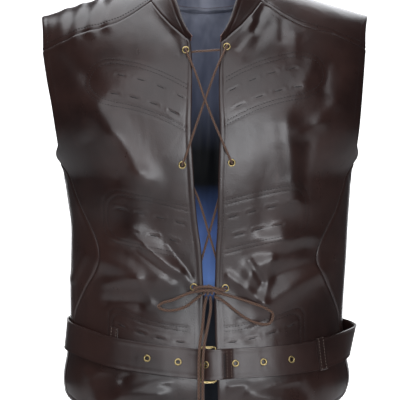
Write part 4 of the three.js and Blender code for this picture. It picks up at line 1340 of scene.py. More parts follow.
def tube_mesh(bm, line, radius, sides, uv_scale=(1, 1)):
    """Adds a closed round tube along a line to a bmesh. radius is a number or a function of the
    turn round the tube and the way along it, in millimetres."""
    side, up = frames_along(line)
    gone = gone_along(line)
    piece, flat = vertex_grid(sides, len(line) - 1)
    i = np.rint(flat[:, 1] * (len(line) - 1)).astype(int)
    turn = flat[:, 0] * 2 * math.pi
    size = radius(turn, gone[i], gone[-1]) if callable(radius) else np.full(len(i), float(radius))
    points = line[i] + (side[i] * np.cos(turn)[:, None] + up[i] * np.sin(turn)[:, None]) * size[:, None]
    put(piece, points)
    set_uv(piece, np.stack([flat[:, 0] * uv_scale[0], gone[i] * uv_scale[1]], axis=-1))
    bmesh.ops.remove_doubles(piece, verts=piece.verts[:], dist=1e-6)
    ends = [edge for edge in piece.edges if edge.is_boundary]
    if ends:
        bmesh.ops.holes_fill(piece, edges=ends, sides=0)
    bmesh.ops.recalc_face_normals(piece, faces=piece.faces[:])
    absorb(bm, piece)


BRAID_STRANDS = 4
BRAID_RELIEF = 0.13
TUBE_SIDES = 12


def braid_radius(diameter, strand, rounded_ends):
    """Radius of a braid: two families of strands cross, and the ends round off."""

    def radius(turn, gone, total):
        phase, along = BRAID_STRANDS * turn / 2, math.pi * gone / strand
        relief = np.abs(np.sin(phase + along)) * np.abs(np.sin(phase - along))
        full = diameter / 2 * (1 - BRAID_RELIEF / 2 + BRAID_RELIEF * relief)
        if not rounded_ends:
            return full
        from_end = np.minimum(gone, total - gone) / (diameter / 2)
        return full * np.sqrt(np.clip(1 - (1 - np.clip(from_end, 0, 1)) ** 2, 0.04, 1))

    return radius


def route_line(route):
    x, z, out = np.array(route, float).T
    return centripetal(front_point(x, z, out))


def braid(bm, line, diameter, strand, rounded_ends=True):
    """Adds a braid along a line to a bmesh."""
    radius = braid_radius(diameter, strand, rounded_ends)
    tube_mesh(bm, line, radius, TUBE_SIDES, (BRAID_STRANDS, 1 / strand))


def braided_cord(name, route, diameter, settings):
    """A braided cord along a route, in place of its node."""
    line = evenly(route_line(route), settings.step / MM)
    bm = bmesh.new()
    braid(bm, line, diameter, settings.strand / MM)
    cord = mesh_object(f"{name}_cord", bm, [bpy.data.materials["Lace braid"]])
    dress(cord, "lace", name)


def spun(bm, profile, steps, centre, axis):
    """Adds a closed profile (radius, height) spun round an axis to a bmesh."""
    piece = bmesh.new()
    ring = [piece.verts.new((r * MM, 0, h * MM)) for r, h in profile]
    edges = [piece.edges.new((a, b)) for a, b in zip(ring, ring[1:] + ring[:1])]
    bmesh.ops.spin(
        piece,
        geom=ring + edges,
        cent=(0, 0, 0),
        axis=(0, 0, 1),
        angle=2 * math.pi,
        steps=steps,
        use_merge=True,
        use_duplicate=False,
    )
    bmesh.ops.remove_doubles(piece, verts=piece.verts[:], dist=1e-6)
    bmesh.ops.recalc_face_normals(piece, faces=piece.faces[:])
    turn = Vector((0, 0, 1)).rotation_difference(Vector(axis)).to_matrix().to_4x4()
    piece.transform(Matrix.Translation(Vector(centre) * MM) @ turn)
    absorb(bm, piece)


def tip_profile(radius, length):
    """A crimped brass lace tip, from its mouth at the cord down to its rounded end."""
    wall = 0.45
    return [
        (radius - wall, 0),
        (radius, 0.3),
        (radius, 2.2),
        (radius - 0.35, 2.8),
        (radius - 0.35, 3.4),
        (radius, 4),
        (radius * 0.86, length * 0.7),
        (radius * 0.8, length * 0.8),
        (radius * 0.7, length - 0.8),
        (radius * 0.45, length),
        (0.05, length),
        (0.05, 1.5),
        (radius - wall, 1.5),
    ]


class VEST_OT_lace(bpy.types.Operator):
    """Braid the lace, its bow and its tipped tails"""

    bl_idname = "vest.lace"
    bl_label = "Lace and Bow"

    def execute(self, context):
        settings = context.scene.vest_lace
        materials(context)
        braided_cord("lace", LACE_ROUTE, LACE_DIAMETER, settings)
        for side, route in (("right", RIGHT_LOOP_ROUTE), ("left", LEFT_LOOP_ROUTE)):
            braided_cord(f"bow_loop_{side}", route, BOW_DIAMETER, settings)
        for number, route in enumerate(TAIL_ROUTES, 1):
            tip = self.tip(number, route)
            braided_cord(f"lace_tail_{number}", route, BOW_DIAMETER, settings)
        self.knot(settings)
        return {"FINISHED"}

    def tip(self, number, route):
        x, z, out = np.array(route, float).T
        before, end = front_point(x, z, out)[-2:]
        axis = unit(end - before)
        bm = bmesh.new()
        spun(bm, tip_profile(TIP["radius"], TIP["length"]), TIP["steps"], end + axis * 0.3, axis)
        tip = mesh_object(f"lace_tip_{number}_brass", bm, [bpy.data.materials["Brass"]])
        return dress(tip, "brass", f"lace_tip_{number}")

    def knot(self, settings):
        """Turns of lace drawn tight over a core, with the bights that cross them."""
        centre = front_point(KNOT["x"], KNOT["z"], KNOT["out"])
        wide, high, deep = (KNOT[k] for k in ("width", "height", "depth"))
        r = BOW_DIAMETER / 2
        bm = bmesh.new()
        bmesh.ops.create_uvsphere(bm, u_segments=16, v_segments=10, radius=1)
        core = Matrix.Diagonal((*(np.array([wide - r, deep - r, high - r]) * MM), 1))
        bmesh.ops.transform(bm, matrix=Matrix.Translation(Vector(centre) * MM) @ core, verts=bm.verts[:])
        bm.loops.layers.uv.new("UVMap")
        strand = settings.strand / MM
        turn = np.linspace(0, 2 * math.pi, 40, endpoint=False)
        for shift, lean in KNOT_TURNS:
            squeeze = math.sqrt(max(0.2, 1 - (shift / wide) ** 2))
            ring = np.stack(
                [
                    shift + lean * (high - r) * np.sin(turn),
                    -(deep - r * 0.6) * squeeze * np.cos(turn),
                    (high - r * 0.8) * squeeze * np.sin(turn),
                ],
                axis=-1,
            )
            braid(bm, evenly(np.concatenate([ring, ring[:1]]) + centre, 0.8), KNOT_DIAMETER, strand, False)
        for route in KNOT_BIGHTS:
            braid(bm, evenly(route_line(route), 0.8), KNOT_DIAMETER, strand)
        knot = mesh_object("bow_knot_braid", bm, [bpy.data.materials["Lace braid"]])
        dress(knot, "lace", "bow_knot")


# ---- the leather pieces ----


def armhole_share(point):
    """0 along a side seam and 1 along the armhole over it."""
    return smooth((point[..., 2] - ARMHOLE_FOOT_Z) / ARMHOLE_TURN_IN)


def front_edges(away, point):
    """Turned front edge and hem; a seam at the top and side, a turned edge along the armhole."""
    outer = mix(seam_profile(away["right"]), turned_profile(away["right"]), armhole_share(point))
    turned = turned_profile(away["left"]) + outer + turned_profile(away["bottom"])
    return turned + seam_profile(away["top"])


def back_edges(away, point):
    share = armhole_share(point)
    sides = sum(mix(seam_profile(away[k]), turned_profile(away[k]), share) for k in ("left", "right"))
    return sides + turned_profile(away["bottom"]) + seam_profile(away["top"])


def side_edges(away, point):
    seams = seam_profile(away["left"]) + seam_profile(away["right"])
    return seams + turned_profile(away["bottom"]) + turned_profile(away["top"])


def yoke_edges(away, point):
    """Seams to the front, back and collar; a turned edge along the armhole."""
    stitched = sum(ridges(away[k], YOKE_SEAM_STITCHES) for k in ("left", "right"))
    seams = seam_profile(away["left"]) + seam_profile(away["right"]) + seam_profile(away["bottom"])
    return seams + stitched + turned_profile(away["top"])


class VEST_OT_fronts(bpy.types.Operator):
    """Cut and stitch both leather fronts"""

    bl_idname = "vest.fronts"
    bl_label = "Fronts"

    def execute(self, context):
        stock = materials(context)
        for sign, side in SIDES:
            sew_wall(
                f"front_{side}",
                front_panel(sign),
                context.scene.vest_leather.front_cell,
                stock,
                front_edges,
                lambda point, sign=sign: ornament_height(point[..., 0], point[..., 2], sign),
                eyelet_centres(sign, LEATHER),
                0,
            )
        return {"FINISHED"}


class VEST_OT_body(bpy.types.Operator):
    """Cut the back, the side panels and the shoulder yokes"""

    bl_idname = "vest.body"
    bl_label = "Back, Sides and Yokes"

    def execute(self, context):
        stock = materials(context)
        settings = context.scene.vest_leather
        front_cell, back_cell = settings.front_cell, settings.back_cell
        sew_wall("back", back_panel, back_cell, stock, back_edges)
        for sign, side in SIDES:
            sew_wall(f"side_{side}", side_panel(sign), back_cell, stock, side_edges)
            sew_wall(f"yoke_{side}", yoke_panel(sign), front_cell, stock, yoke_edges)
        return {"FINISHED"}


# ---- collar ----

COLLAR_EDGE = table(
    "along x y z",
    (0, 18.8, -116, -78),
    (0.1, 24, -110, -68),
    (0.2, 31, -101, -52),
    (0.3, 38, -88, -30),
    (0.4, 47, -66, -3),
    (0.58, 59, -22, 30),
    (0.74, 60, 22, 41),
    (0.87, 38, 50, 40),
    (1, 0, 61, 37),
)
COLLAR_LIFT = -1
COLLAR_SAMPLES = 60
COLLAR_ROWS = 26


def neckline(sign):
    """The neckline from the front corner to the middle of the back, along the panels' own edges."""
    front = front_panel(sign)
    yoke = yoke_panel(sign)
    neck_share = NECK_COLUMNS / (NECK_COLUMNS + YOKE_COLUMNS)
    along = np.linspace(0, 1, COLLAR_SAMPLES)
    parts = [
        form_point(*front(along * neck_share, np.ones(COLLAR_SAMPLES))),
        form_point(*yoke(along, np.zeros(COLLAR_SAMPLES)))[1:],
    ]
    back_share = BACK_NECK_COLUMNS / (BACK_NECK_COLUMNS + YOKE_COLUMNS)
    across = 0.5 + sign * 0.5 * back_share * (1 - along)
    parts.append(form_point(*back_panel(across, np.ones(COLLAR_SAMPLES)))[1:])
    parts[-1][:, 0] = np.where(sign * parts[-1][:, 0] < 0, 0, parts[-1][:, 0])
    return evenly(np.concatenate(parts), 2.4)


def collar_posts(sign):
    foot = neckline(sign)
    gone = gone_along(foot)
    share = gone / gone[-1]
    edge = np.stack([read(COLLAR_EDGE, "along", k, share) for k in "xyz"], axis=-1)
    edge[:, 0] *= sign
    return foot, edge


def collar_grid(rows):
    """Points and normals of the collar's outer face, from its foot to its free edge."""
    foot, edge = (np.concatenate([a, b[::-1][1:]]) for a, b in zip(collar_posts(-1), collar_posts(1)))
    up = unit(edge - foot)
    along = np.gradient(foot, axis=0)
    normal = unit(np.cross(up, along))
    start = foot + up * COLLAR_LIFT
    share = np.linspace(0, 1, rows + 1)[:, None, None]
    return start + (edge - start) * share, np.broadcast_to(normal, (rows + 1, *normal.shape))


class VEST_OT_collar(bpy.types.Operator):
    """Cut the stand collar with its turned edge"""

    bl_idname = "vest.collar"
    bl_label = "Collar"

    def execute(self, context):
        stock = materials(context)
        points, normals = collar_grid(COLLAR_ROWS)
        away = border_distances(points)
        height = seam_profile(away["bottom"]) * 0.6 + turned_profile(away["top"]) * 0.8
        points = points + normals * height[..., None]
        sides = [stock[name] for name in ("Vest leather", "Lining satin", "Cut edge")]
        obj = grid_object("collar_leather", points, normals, (0.6, 0.05), sides)
        thicken(obj, LEATHER, inner_material=1, rim_material=2)
        declare_sheet(points)
        dress(obj, "leather", "collar")
        return {"FINISHED"}


# ---- lining ----

LINING_MARGIN = 9


def lining_relief(point):
    """Soft upright ripples of the satin."""
    x, z = point[..., 0], point[..., 2]
    ripples = 1.6 * np.sin(x / 13 + 0.9 * np.sin(z / 61)) + 1.1 * np.sin(x / 7.3 + z / 90 + 1.1)
    return -np.abs(ripples) - 0.6 * np.sin(z / 23 + x / 40)


class VEST_OT_lining(bpy.types.Operator):
    """Hang the satin lining inside the fronts and the back"""

    bl_idname = "vest.lining"
    bl_label = "Satin Lining"

    def execute(self, context):
        stock = materials(context)
        panels = (
            ("lining_right", front_panel(-1), -1, "front_right"),
            ("lining_left", front_panel(1), 1, "front_left"),
            ("lining_back", back_panel, 0, "back"),
        )
        for name, where, sign, rests_on in panels:
            obj = self.piece(context, name, where, stock, rests_on)
            if sign:
                cut_holes(obj, eyelet_centres(sign, -LINING_GAP), EYELET["barrel"] + 1.2)
            dress(obj, "satin", name)
        return {"FINISHED"}

    def piece(self, context, name, where, stock, rests_on):
        coarse, _, away = wall_grid(where, *COARSE, -LINING_GAP, folds=False)
        width = np.median(away["left"][:, -1])
        length = np.median(away["bottom"][-1])
        margin_x, margin_z = LINING_MARGIN / width, LINING_MARGIN / length

        def inside(across, up):
            return where(mix(margin_x, 1 - margin_x, across), mix(margin_z, 1 - margin_z, up))

        columns, rows = cells(coarse, context.scene.vest_satin.cell)
        points, normals, _ = wall_grid(inside, columns, rows, -LINING_GAP, None, lining_relief, False)
        obj = grid_object(f"{name}_satin", points, normals, (0.3, 0.6), [stock["Lining satin"]])
        thicken(obj, LINING, rounding=0.2)
        declare_sheet(points)
        return obj


# ---- eyelets ----


def eyelet_places(sign=0):
    """Point and normal of each lace eyelet on the form, on one side or on both."""
    for number, (x, z) in enumerate(LACE_EYELETS, 1):
        if not sign or math.copysign(1, x) == sign:
            point, normal, _ = front_frame(x, z)
            yield number, point, normal


def eyelet_centres(sign, out):
    return [Vector((point + normal * out) * MM) for _, point, normal in eyelet_places(sign)]


def eyelet_profile(size, front, back):
    """A rolled flange on the front, a barrel through the wall and a turned rim behind."""
    flange, hole, barrel, rim = (size[k] for k in ("flange", "hole", "barrel", "rim"))
    roll = (flange - hole) / 2
    rolled = [
        (flange - roll + roll * math.cos(t), front + 0.15 + rim * 1.25 * math.sin(t))
        for t in np.linspace(0, math.pi, 9)
    ]
    return [
        (flange, front),
        *rolled,
        (hole, back - rim),
        (flange - 0.7, back - rim),
        (flange - 0.7, back),
        (barrel, back),
        (barrel, front),
    ]


class VEST_OT_eyelets(bpy.types.Operator):
    """Set the brass eyelets of the lace and of the belt"""

    bl_idname = "vest.eyelets"
    bl_label = "Eyelets"

    def execute(self, context):
        stock = materials(context)
        for number, point, normal in eyelet_places():
            back = -(LINING_GAP + LINING + 2 * EYELET_CLEARANCE)
            profile = eyelet_profile(EYELET, LEATHER + EYELET_CLEARANCE, back)
            bm = bmesh.new()
            spun(bm, profile, EYELET_STEPS, point, normal)
            eyelet = mesh_object(f"lace_eyelet_{number}_brass", bm, [stock["Brass"]])
            dress(eyelet, "brass", f"lace_eyelet_{number}")
        half = BELT_THICK / 2
        for number, x in enumerate(BELT_EYELETS, 1):
            centre, axis = strap_hole(x)
            bm = bmesh.new()
            profile = eyelet_profile(BELT_EYELET, half + 0.6, -half - 0.4)
            spun(bm, profile, EYELET_STEPS, centre, axis)
            eyelet = mesh_object(f"belt_eyelet_{number}_brass", bm, [stock["Brass"]])
            dress(eyelet, "brass", f"belt_eyelet_{number}")
        return {"FINISHED"}


# ---- belt ----

STRAP_MID = BELT_REST + BELT_THICK / 2
LAYER = BELT_THICK + 0.3
HEEL_WRAP = BUCKLE["bar"] + 0.9 + BELT_THICK / 2
STRAP_STEPS = 84
STRAP_CELL = 1.9
STRAP_COLUMNS = 18
END_ROWS = 5
END_PULL = 0.16
ROUND_FROM = 56
ROUND_TO = -42
WRAP_ROWS = 7
CHAPE_START = ((29, 0), (23, 0), (17, 0))
CHAPE_END = (
    (17, 2 * HEEL_WRAP),
    (23, HEEL_WRAP + 1.8),
    (28.5, LAYER + 0.5),
    (33, 1.4),
    (37, 0.8),
    (44, 0.2),
    (ROUND_FROM, 0),
)
FREE_END = (
    (ROUND_TO, 0),
    (-26, 0.6),
    (-17, 1.4),
    (-12.5, 2.2),
    (-9, 3.3),
    (-5.5, 5),
    (4.5, 9.1),
    (12, 2 * HEEL_WRAP + LAYER),
    (18, 2 * HEEL_WRAP + LAYER),
    (24, HEEL_WRAP + 2 + LAYER),
)


def stand_off(angle, share):
    """How far the strap stands off its rest: it flares at the left side and clears the slipped loop."""
    flare = bump_at(angle - FLARE["angle"], FLARE["spread"])
    slipped = bump_at(angle - front_angle(RIGHT_LOOP_X, belt_z(0.0)), SLIP_SPREAD)
    lifted = slipped * (LOOP["thick"] + LOOP["air"])
    return flare * mix(FLARE["bottom"], FLARE["top"], share + 0.5) + lifted


def belt_point(angle, out, share):
    rise = belt_z(angle) - CHEST_Z
    flat = form_normal(angle, rise)
    flat[..., 2] = 0
    level = form_point(angle, rise + share * BELT_WIDTH)
    return level + unit(flat) * np.asarray(out + stand_off(angle, share))[..., None]


def belt_angle(x):
    return float(front_angle(x, belt_z(0.0)))


def strap_line():
    """The strap's middle line as angle and distance out: the fold round the heel bar, the way round
    the body, then the free end under the far bar and over the heel bar."""
    line = [(belt_angle(x), STRAP_MID + out) for x, out in CHAPE_START]
    for k in range(WRAP_ROWS):
        turn = math.pi * (0.5 + (k + 1) / (WRAP_ROWS + 1))
        x = BUCKLE["heel"] + HEEL_WRAP * math.cos(turn)
        line.append((belt_angle(x), STRAP_MID + HEEL_WRAP * (1 - math.sin(turn))))
    line += [(belt_angle(x), STRAP_MID + out) for x, out in CHAPE_END]
    start, end = belt_angle(ROUND_FROM), 360 + belt_angle(ROUND_TO)
    line += [(mix(start, end, k / STRAP_STEPS), STRAP_MID) for k in range(1, STRAP_STEPS)]
    line += [(360 + belt_angle(x), STRAP_MID + out) for x, out in FREE_END]
    return np.array(line)


def wrapped(angle):
    return np.where(angle > 180, angle - 360, angle)


def strap_rows(step):
    """The strap's line, finely and smoothly sampled, as angle and distance out."""
    line = strap_line()
    rows = {"k": np.arange(len(line), dtype=float), "angle": line[:, 0], "out": line[:, 1]}
    fine = np.linspace(0, len(line) - 1, 12 * (len(line) - 1) + 1)
    angle, out = read(rows, "k", "angle", fine), read(rows, "k", "out", fine)
    points = belt_point(wrapped(angle), out, 0.0)
    gone = gone_along(points)
    at = np.linspace(0, gone[-1], max(2, round(gone[-1] / step)) + 1)
    return wrapped(np.interp(at, gone, angle)), np.interp(at, gone, out), gone[-1]


def strap_hole(x):
    """Centre and axis of a hole through the strap at a place x of the front."""
    angle, out, k, t = strap_place(x)
    middle = belt_point(angle, out, 0.0)
    along = middle[k + 1] - middle[k - 1]
    up = belt_point(angle[k], out[k], 0.1) - belt_point(angle[k], out[k], -0.1)
    return mix(middle[k], middle[k + 1], t), unit(np.cross(along, up))


def strap_place(x):
    """The strap's rows, and the row and share of the next at which they cross a place x of the front."""
    angle, out, _ = strap_rows(1.0)
    middle = belt_point(angle, out, 0.0)
    is_front = np.abs(angle) < 90
    half = len(angle) // 2
    crossing = (middle[:-1, 0] - x) * (middle[1:, 0] - x) <= 0
    crossing &= is_front[:-1]
    found = np.flatnonzero(crossing)
    found = found[found > half] if x < 0 else found[found < half]
    k = found[0] if x < 0 else found[-1]
    return angle, out, k, (x - middle[k, 0]) / (middle[k + 1, 0] - middle[k, 0])


def buckle_point(x, out, height):
    angle = front_angle(x, belt_z(0.0))
    return belt_point(angle, STRAP_MID + np.asarray(out, float), height / BELT_WIDTH)


FAR_BAR_OUT = 3.9 + BELT_THICK / 2 + 0.8 + BUCKLE["bar"]
PRONG_ROUTE = (
    (6.3, 3.2),
    (3.2, 3.8),
    (0.8, 5),
    (-0.5, 7.1),
    (-1.8, 9.6),
    (-4, 10.8),
    (-8, 10.7),
    (-11, 10.4),
)
PRONG = {"heel": 1.25, "point": 0.85, "blunt": 1.6}
CORNER_STEPS = 4
BUCKLE_SIDES = 14


def frame_line():
    """The buckle's bent bar: a rounded rectangle whose far bar stands out over the strap."""
    half, middle = (BUCKLE["heel"] - BUCKLE["far"]) / 2, (BUCKLE["heel"] + BUCKLE["far"]) / 2
    corner, high = BUCKLE["corner"], BUCKLE["half_height"]
    points = []
    for k, (sx, sz) in enumerate(((-1, -1), (1, -1), (1, 1), (-1, 1))):
        for i in range(CORNER_STEPS):
            turn = math.pi * (1 + k / 2 + i / (CORNER_STEPS - 1) / 2)
            x = middle + sx * (half - corner) + corner * math.cos(turn)
            z = sz * (high - corner) + corner * math.sin(turn)
            out = mix(HEEL_WRAP, FAR_BAR_OUT, (BUCKLE["heel"] - x) / (2 * half))
            points.append(buckle_point(x, out, z))
    return centripetal(np.array(points), closed=True)


class VEST_OT_belt(bpy.types.Operator):
    """Cut the belt strap and forge its buckle"""

    bl_idname = "vest.belt"
    bl_label = "Belt and Buckle"

    def execute(self, context):
        stock = materials(context)
        self.strap(stock)
        bm = bmesh.new()
        tube_mesh(bm, evenly(frame_line(), 1.2), BUCKLE["bar"], BUCKLE_SIDES)
        frame_piece = mesh_object("buckle_frame_brass", bm, [stock["Brass"]])
        dress(frame_piece, "brass", "buckle_frame")
        x, out = np.array(PRONG_ROUTE, float).T
        line = evenly(centripetal(buckle_point(x, out, 0.0)), 0.6)

        def taper(turn, gone, total):
            blunt = np.sqrt(np.clip((total - gone) / PRONG["blunt"], 0.05, 1))
            return mix(PRONG["heel"], PRONG["point"], gone / total) * blunt

        bm = bmesh.new()
        tube_mesh(bm, line, taper, TUBE_SIDES)
        prong = mesh_object("buckle_prong_brass", bm, [stock["Brass"]])
        dress(prong, "brass", "buckle_prong")
        return {"FINISHED"}

    def strap(self, stock):
        angle, out, length = strap_rows(STRAP_CELL)
        share = np.linspace(-0.5, 0.5, STRAP_COLUMNS + 1)
        points = belt_point(angle[:, None], out[:, None], share[None, :])
        along = np.gradient(points, axis=0)
        up = np.gradient(points, axis=1)
        normals = unit(np.cross(along, up))
        edge = np.minimum(share + 0.5, 0.5 - share) * BELT_WIDTH
        points = points + normals * ridges(edge, STRAP_EDGE)[None, :, None]
        points = self.rounded_end(points)
        size = (BELT_WIDTH * MM, length * MM)
        obj = grid_object("belt_strap_leather", points, normals, size, [stock["Belt leather"]])
        holes = [Vector(strap_hole(x)[0] * MM) for x in BELT_EYELETS]
        cut_holes(obj, holes, BELT_EYELET["barrel"] + 0.6)
        thicken(obj, BELT_THICK, offset=0.0, rounding=0.5)
        dress(obj, "leather", "belt_strap")

    def rounded_end(self, points):
        """Draws in the corners of the free end."""
        shaped = points.copy()
        is_corner = np.abs(np.linspace(-1, 1, points.shape[1])) > 0.8
        for k in range(END_ROWS):
            keep = 1 - END_PULL * (1 - k / END_ROWS) ** 2
            middle = points[-1 - k].mean(0)
            shaped[-1 - k] = middle + (points[-1 - k] - middle) * np.where(is_corner, keep, 1)[:, None]
        return shaped


LOOP_BACK = LEATHER + LOOP["air"] + LOOP["thick"] / 2
LOOP_FRONT = BELT_REST + BELT_THICK + LOOP["air"] + LOOP["thick"] / 2
LOOP_EDGE = BELT_WIDTH / 2 + LOOP["air"] + LOOP["thick"] / 2
SLIPPED_LOOP = tuple((height, LOOP_BACK) for height in (-16, 0, 22, 31))


def round_loop():
    """Heights and distances out of the left loop: behind the belt, round it and back."""
    bend, gap = LOOP["bend"], LOOP["gap"] / 2
    path = [(-gap, LOOP_BACK)]
    corners = (
        (-LOOP_EDGE + bend, LOOP_BACK + bend, 270),
        (-LOOP_EDGE + bend, LOOP_FRONT - bend, 180),
        (LOOP_EDGE - bend, LOOP_FRONT - bend, 90),
        (LOOP_EDGE - bend, LOOP_BACK + bend, 0),
    )
    for height, out, start in corners:
        for k in range(4):
            turn = math.radians(start - 30 * k)
            path.append((height + bend * math.cos(turn), out + bend * math.sin(turn)))
    return (*path, (gap, LOOP_BACK))


LOOPS = (("right", RIGHT_LOOP_X, SLIPPED_LOOP), ("left", LEFT_LOOP_X, round_loop()))


def loop_grid(x, path, columns=10, rows=110):
    """Middle face of a belt loop: columns across its width, rows along the band."""
    middle = float(front_angle(x, belt_z(0.0)))
    ends = [form_point(a, belt_z(a) - CHEST_Z) for a in (middle, middle + 1)]
    swing = LOOP["width"] / 2 / np.linalg.norm(ends[1] - ends[0])
    band = np.array([(height, out, 0.0) for height, out in path])
    gone = gone_along(band)
    at = np.linspace(0, gone[-1], rows + 1)
    height, out = (np.interp(at, gone, band[:, k])[:, None] for k in range(2))
    angle = middle + swing * np.linspace(-1, 1, columns + 1)[None, :]
    angle, height, out = np.broadcast_arrays(angle, height, out)
    flat = form_normal(angle, belt_z(angle) - CHEST_Z)
    flat[..., 2] = 0
    level = form_point(angle, belt_z(angle) + height - CHEST_Z)
    points = level + unit(flat) * out[..., None]
    across, along = np.gradient(points, axis=1), np.gradient(points, axis=0)
    return points, unit(np.cross(across, along))


class VEST_OT_belt_loops(bpy.types.Operator):
    """Sew the two belt loops"""

    bl_idname = "vest.belt_loops"
    bl_label = "Belt Loops"

    def execute(self, context):
        stock = materials(context)
        for side, x, path in LOOPS:
            points, normals = loop_grid(x, path)
            away = border_distances(points)
            edge = np.minimum(away["left"], away["right"])
            points = points + normals * ridges(edge, LOOP_STITCHES)[..., None]
            name = f"belt_loop_{side}"
            obj = grid_object(f"{name}_leather", points, normals, (0.012, 0.056), [stock["Belt leather"]])
            thicken(obj, LOOP["thick"], offset=0.0, rounding=0.4)
            flat = (LOOP["width"] * MM, flat_size(points)[1])
            dress(obj, "leather", name)
        return {"FINISHED"}


# ---- stitches, and dark beads of painted shadow ----

STITCH = {"length": 2.6, "pitch": 3.9, "radius": 0.42}
# Dark beads laid in each slash groove: painted shadow of the cut slits.
SLASH_SHADOW_BEAD = {"length": 11.4, "pitch": 11.6, "radius": 0.75}
# Dark beads across the strap near its free end: a painted shadow line at the end's edge.
END_SHADOW_BEAD = {"length": 3.4, "pitch": 3.2, "radius": 0.8}
CHAPE_SEAMS = (27, 32)
LOOP_STITCH_COLUMNS = (2, 8)
END_SHADOW_ROWS = (-2, -3)
TURNED_INSET = 7.8
SEAM_INSET = 5.5
ARMHOLE_FROM = (LOW_ROWS + 0.5) / ROWS


def vector_at(values, gone, at):
    """The value of a line's rows at a distance along it."""
    return Vector([np.interp(at, gone, values[:, k]) for k in range(3)])


def add_thread_and_shadow_beads(bm, line, size, out_of):
    """Small rounded beads along a line of points, for stitches and for painted shadow; out_of gives the
    outward direction at each.
    """
    gone = gone_along(line)
    for middle in np.arange(size["pitch"] / 2, gone[-1] - size["pitch"] / 2, size["pitch"]):
        half = size["length"] / 2
        start, end = (vector_at(line, gone, at) for at in (middle - half, middle + half))
        way = (end - start).normalized()
        across = way.cross(vector_at(out_of, gone, middle)).normalized()
        out = across.cross(way)
        turn = Matrix((across, way, out)).transposed().to_4x4()
        radius = size["radius"] * MM
        bead = Matrix.Diagonal((radius, (end - start).length / 2 * MM, radius * 0.8, 1))
        place = Matrix.Translation((start + end) / 2 * MM) @ turn @ bead
        bmesh.ops.create_uvsphere(bm, u_segments=6, v_segments=4, radius=1, matrix=place)


def border_line(where, border, inset, low, profile):
    """A line on a wall, inset from one of its borders, with the outward direction along it."""
    t = np.linspace(low, 1, 260)
    _, _, away = wall_grid(where, 60, 80, 0.0)
    if border in ("left", "right"):
        across = inset / np.interp(t, np.linspace(0, 1, 81), away["left"][:, -1])
        across, up = (across if border == "left" else 1 - across), t
    else:
        up = inset / np.interp(t, np.linspace(0, 1, 61), away["bottom"][-1])
        across, up = t, (up if border == "bottom" else 1 - up)
    angle, rise = where(across, up)
    point, normal = form_frame(angle, rise)
    height = fold_height(point, angle) + profile(np.float64(inset))
    return point + normal * (LEATHER + height + STITCH["radius"] * 0.4)[..., None], normal


def stitch_border(bm, where, border, low=0.0, inset=TURNED_INSET, profile=turned_profile):
    """Topstitching along a wall's border, from a share of its length to its end."""
    line, normal = border_line(where, border, inset, low, profile)
    add_thread_and_shadow_beads(bm, line, STITCH, normal)


class VEST_OT_stitching(bpy.types.Operator):
    """Run the topstitching of the edges, seams, bands, belt loops and chape, and lay dark beads of painted
    shadow in the slashes and at the belt's free end
    """

    bl_idname = "vest.stitching"
    bl_label = "Stitching"

    def execute(self, context):
        stock = materials(context)
        for sign, side in SIDES:
            self.front(sign, side, stock)
        self.body(stock)
        self.belt(stock)
        return {"FINISHED"}

    def front(self, sign, side, stock):
        bm = bmesh.new()
        for border, low in (("left", 0.0), ("bottom", 0.0), ("right", ARMHOLE_FROM)):
            stitch_border(bm, front_panel(sign), border, low)
        for line in ornament_lines(sign):
            point, normal, angle = front_frame(*line.T)
            height = LEATHER + fold_height(point, angle) - GROOVE["depth"] + STITCH["radius"] * 0.6
            add_thread_and_shadow_beads(bm, point + normal * height[..., None], STITCH, normal)
        # Painted shadow: dark beads in each slash groove stand for the slits' shade.
        for cut in slashes(sign):
            point, normal, angle = front_frame(*np.linspace(*cut, 3).T)
            height = LEATHER + fold_height(point, angle) - SLASH["depth"] * 0.7
            add_thread_and_shadow_beads(bm, point + normal * height[..., None], SLASH_SHADOW_BEAD, normal)
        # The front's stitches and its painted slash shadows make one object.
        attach(mesh_object(f"front_{side}_stitches", bm, [stock["Dark thread"]]), BODY)

    def body(self, stock):
        bm = bmesh.new()
        for sign, _ in SIDES:
            yoke = yoke_panel(sign)
            for border in ("left", "right"):
                stitch_border(bm, yoke, border, 0.0, SEAM_INSET, seam_profile)
            stitch_border(bm, yoke, "top")
            for border in ("top", "bottom"):
                stitch_border(bm, side_panel(sign), border)
        for border, low in (("bottom", 0.0), ("left", ARMHOLE_FROM), ("right", ARMHOLE_FROM)):
            stitch_border(bm, back_panel, border, low)
        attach(mesh_object("body_stitches", bm, [stock["Dark thread"]]), BODY)

    def belt(self, stock):
        bm = bmesh.new()
        for _, x, path in LOOPS:
            points, normals = loop_grid(x, path)
            points = points + normals * LOOP["thick"] / 2
            for column in LOOP_STITCH_COLUMNS:
                add_thread_and_shadow_beads(bm, points[:, column], STITCH, normals[:, column])
        for x in CHAPE_SEAMS:
            angle, out, k, _ = strap_place(x)
            self.across_strap(bm, angle[k], out[k] + 0.1, 0.46, STITCH)
        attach(mesh_object("belt_stitches", bm, [stock["Pale thread"]]), BODY)
        # Painted shadow: two rows of dark beads along the strap's free end.
        bm = bmesh.new()
        angle, out, _ = strap_rows(1.0)
        for row in END_SHADOW_ROWS:
            self.across_strap(bm, angle[row], out[row], 0.46 * 0.9, END_SHADOW_BEAD)
        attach(mesh_object("belt_end_stitches", bm, [stock["Dark thread"]]), BODY)

    def across_strap(self, bm, angle, out, reach, size):
        """A row of beads across the strap's outer face: pale stitches at the chape, a painted shadow line
        near the free end.
        """
        share = np.linspace(-reach, reach, 24)
        normal = form_normal(np.full(share.shape, angle), belt_z(angle) - CHEST_Z)
        add_thread_and_shadow_beads(bm, belt_point(angle, out + BELT_THICK / 2, share), size, normal)


# ---- stage ----

MIDDLE = (0, 0, -0.3)
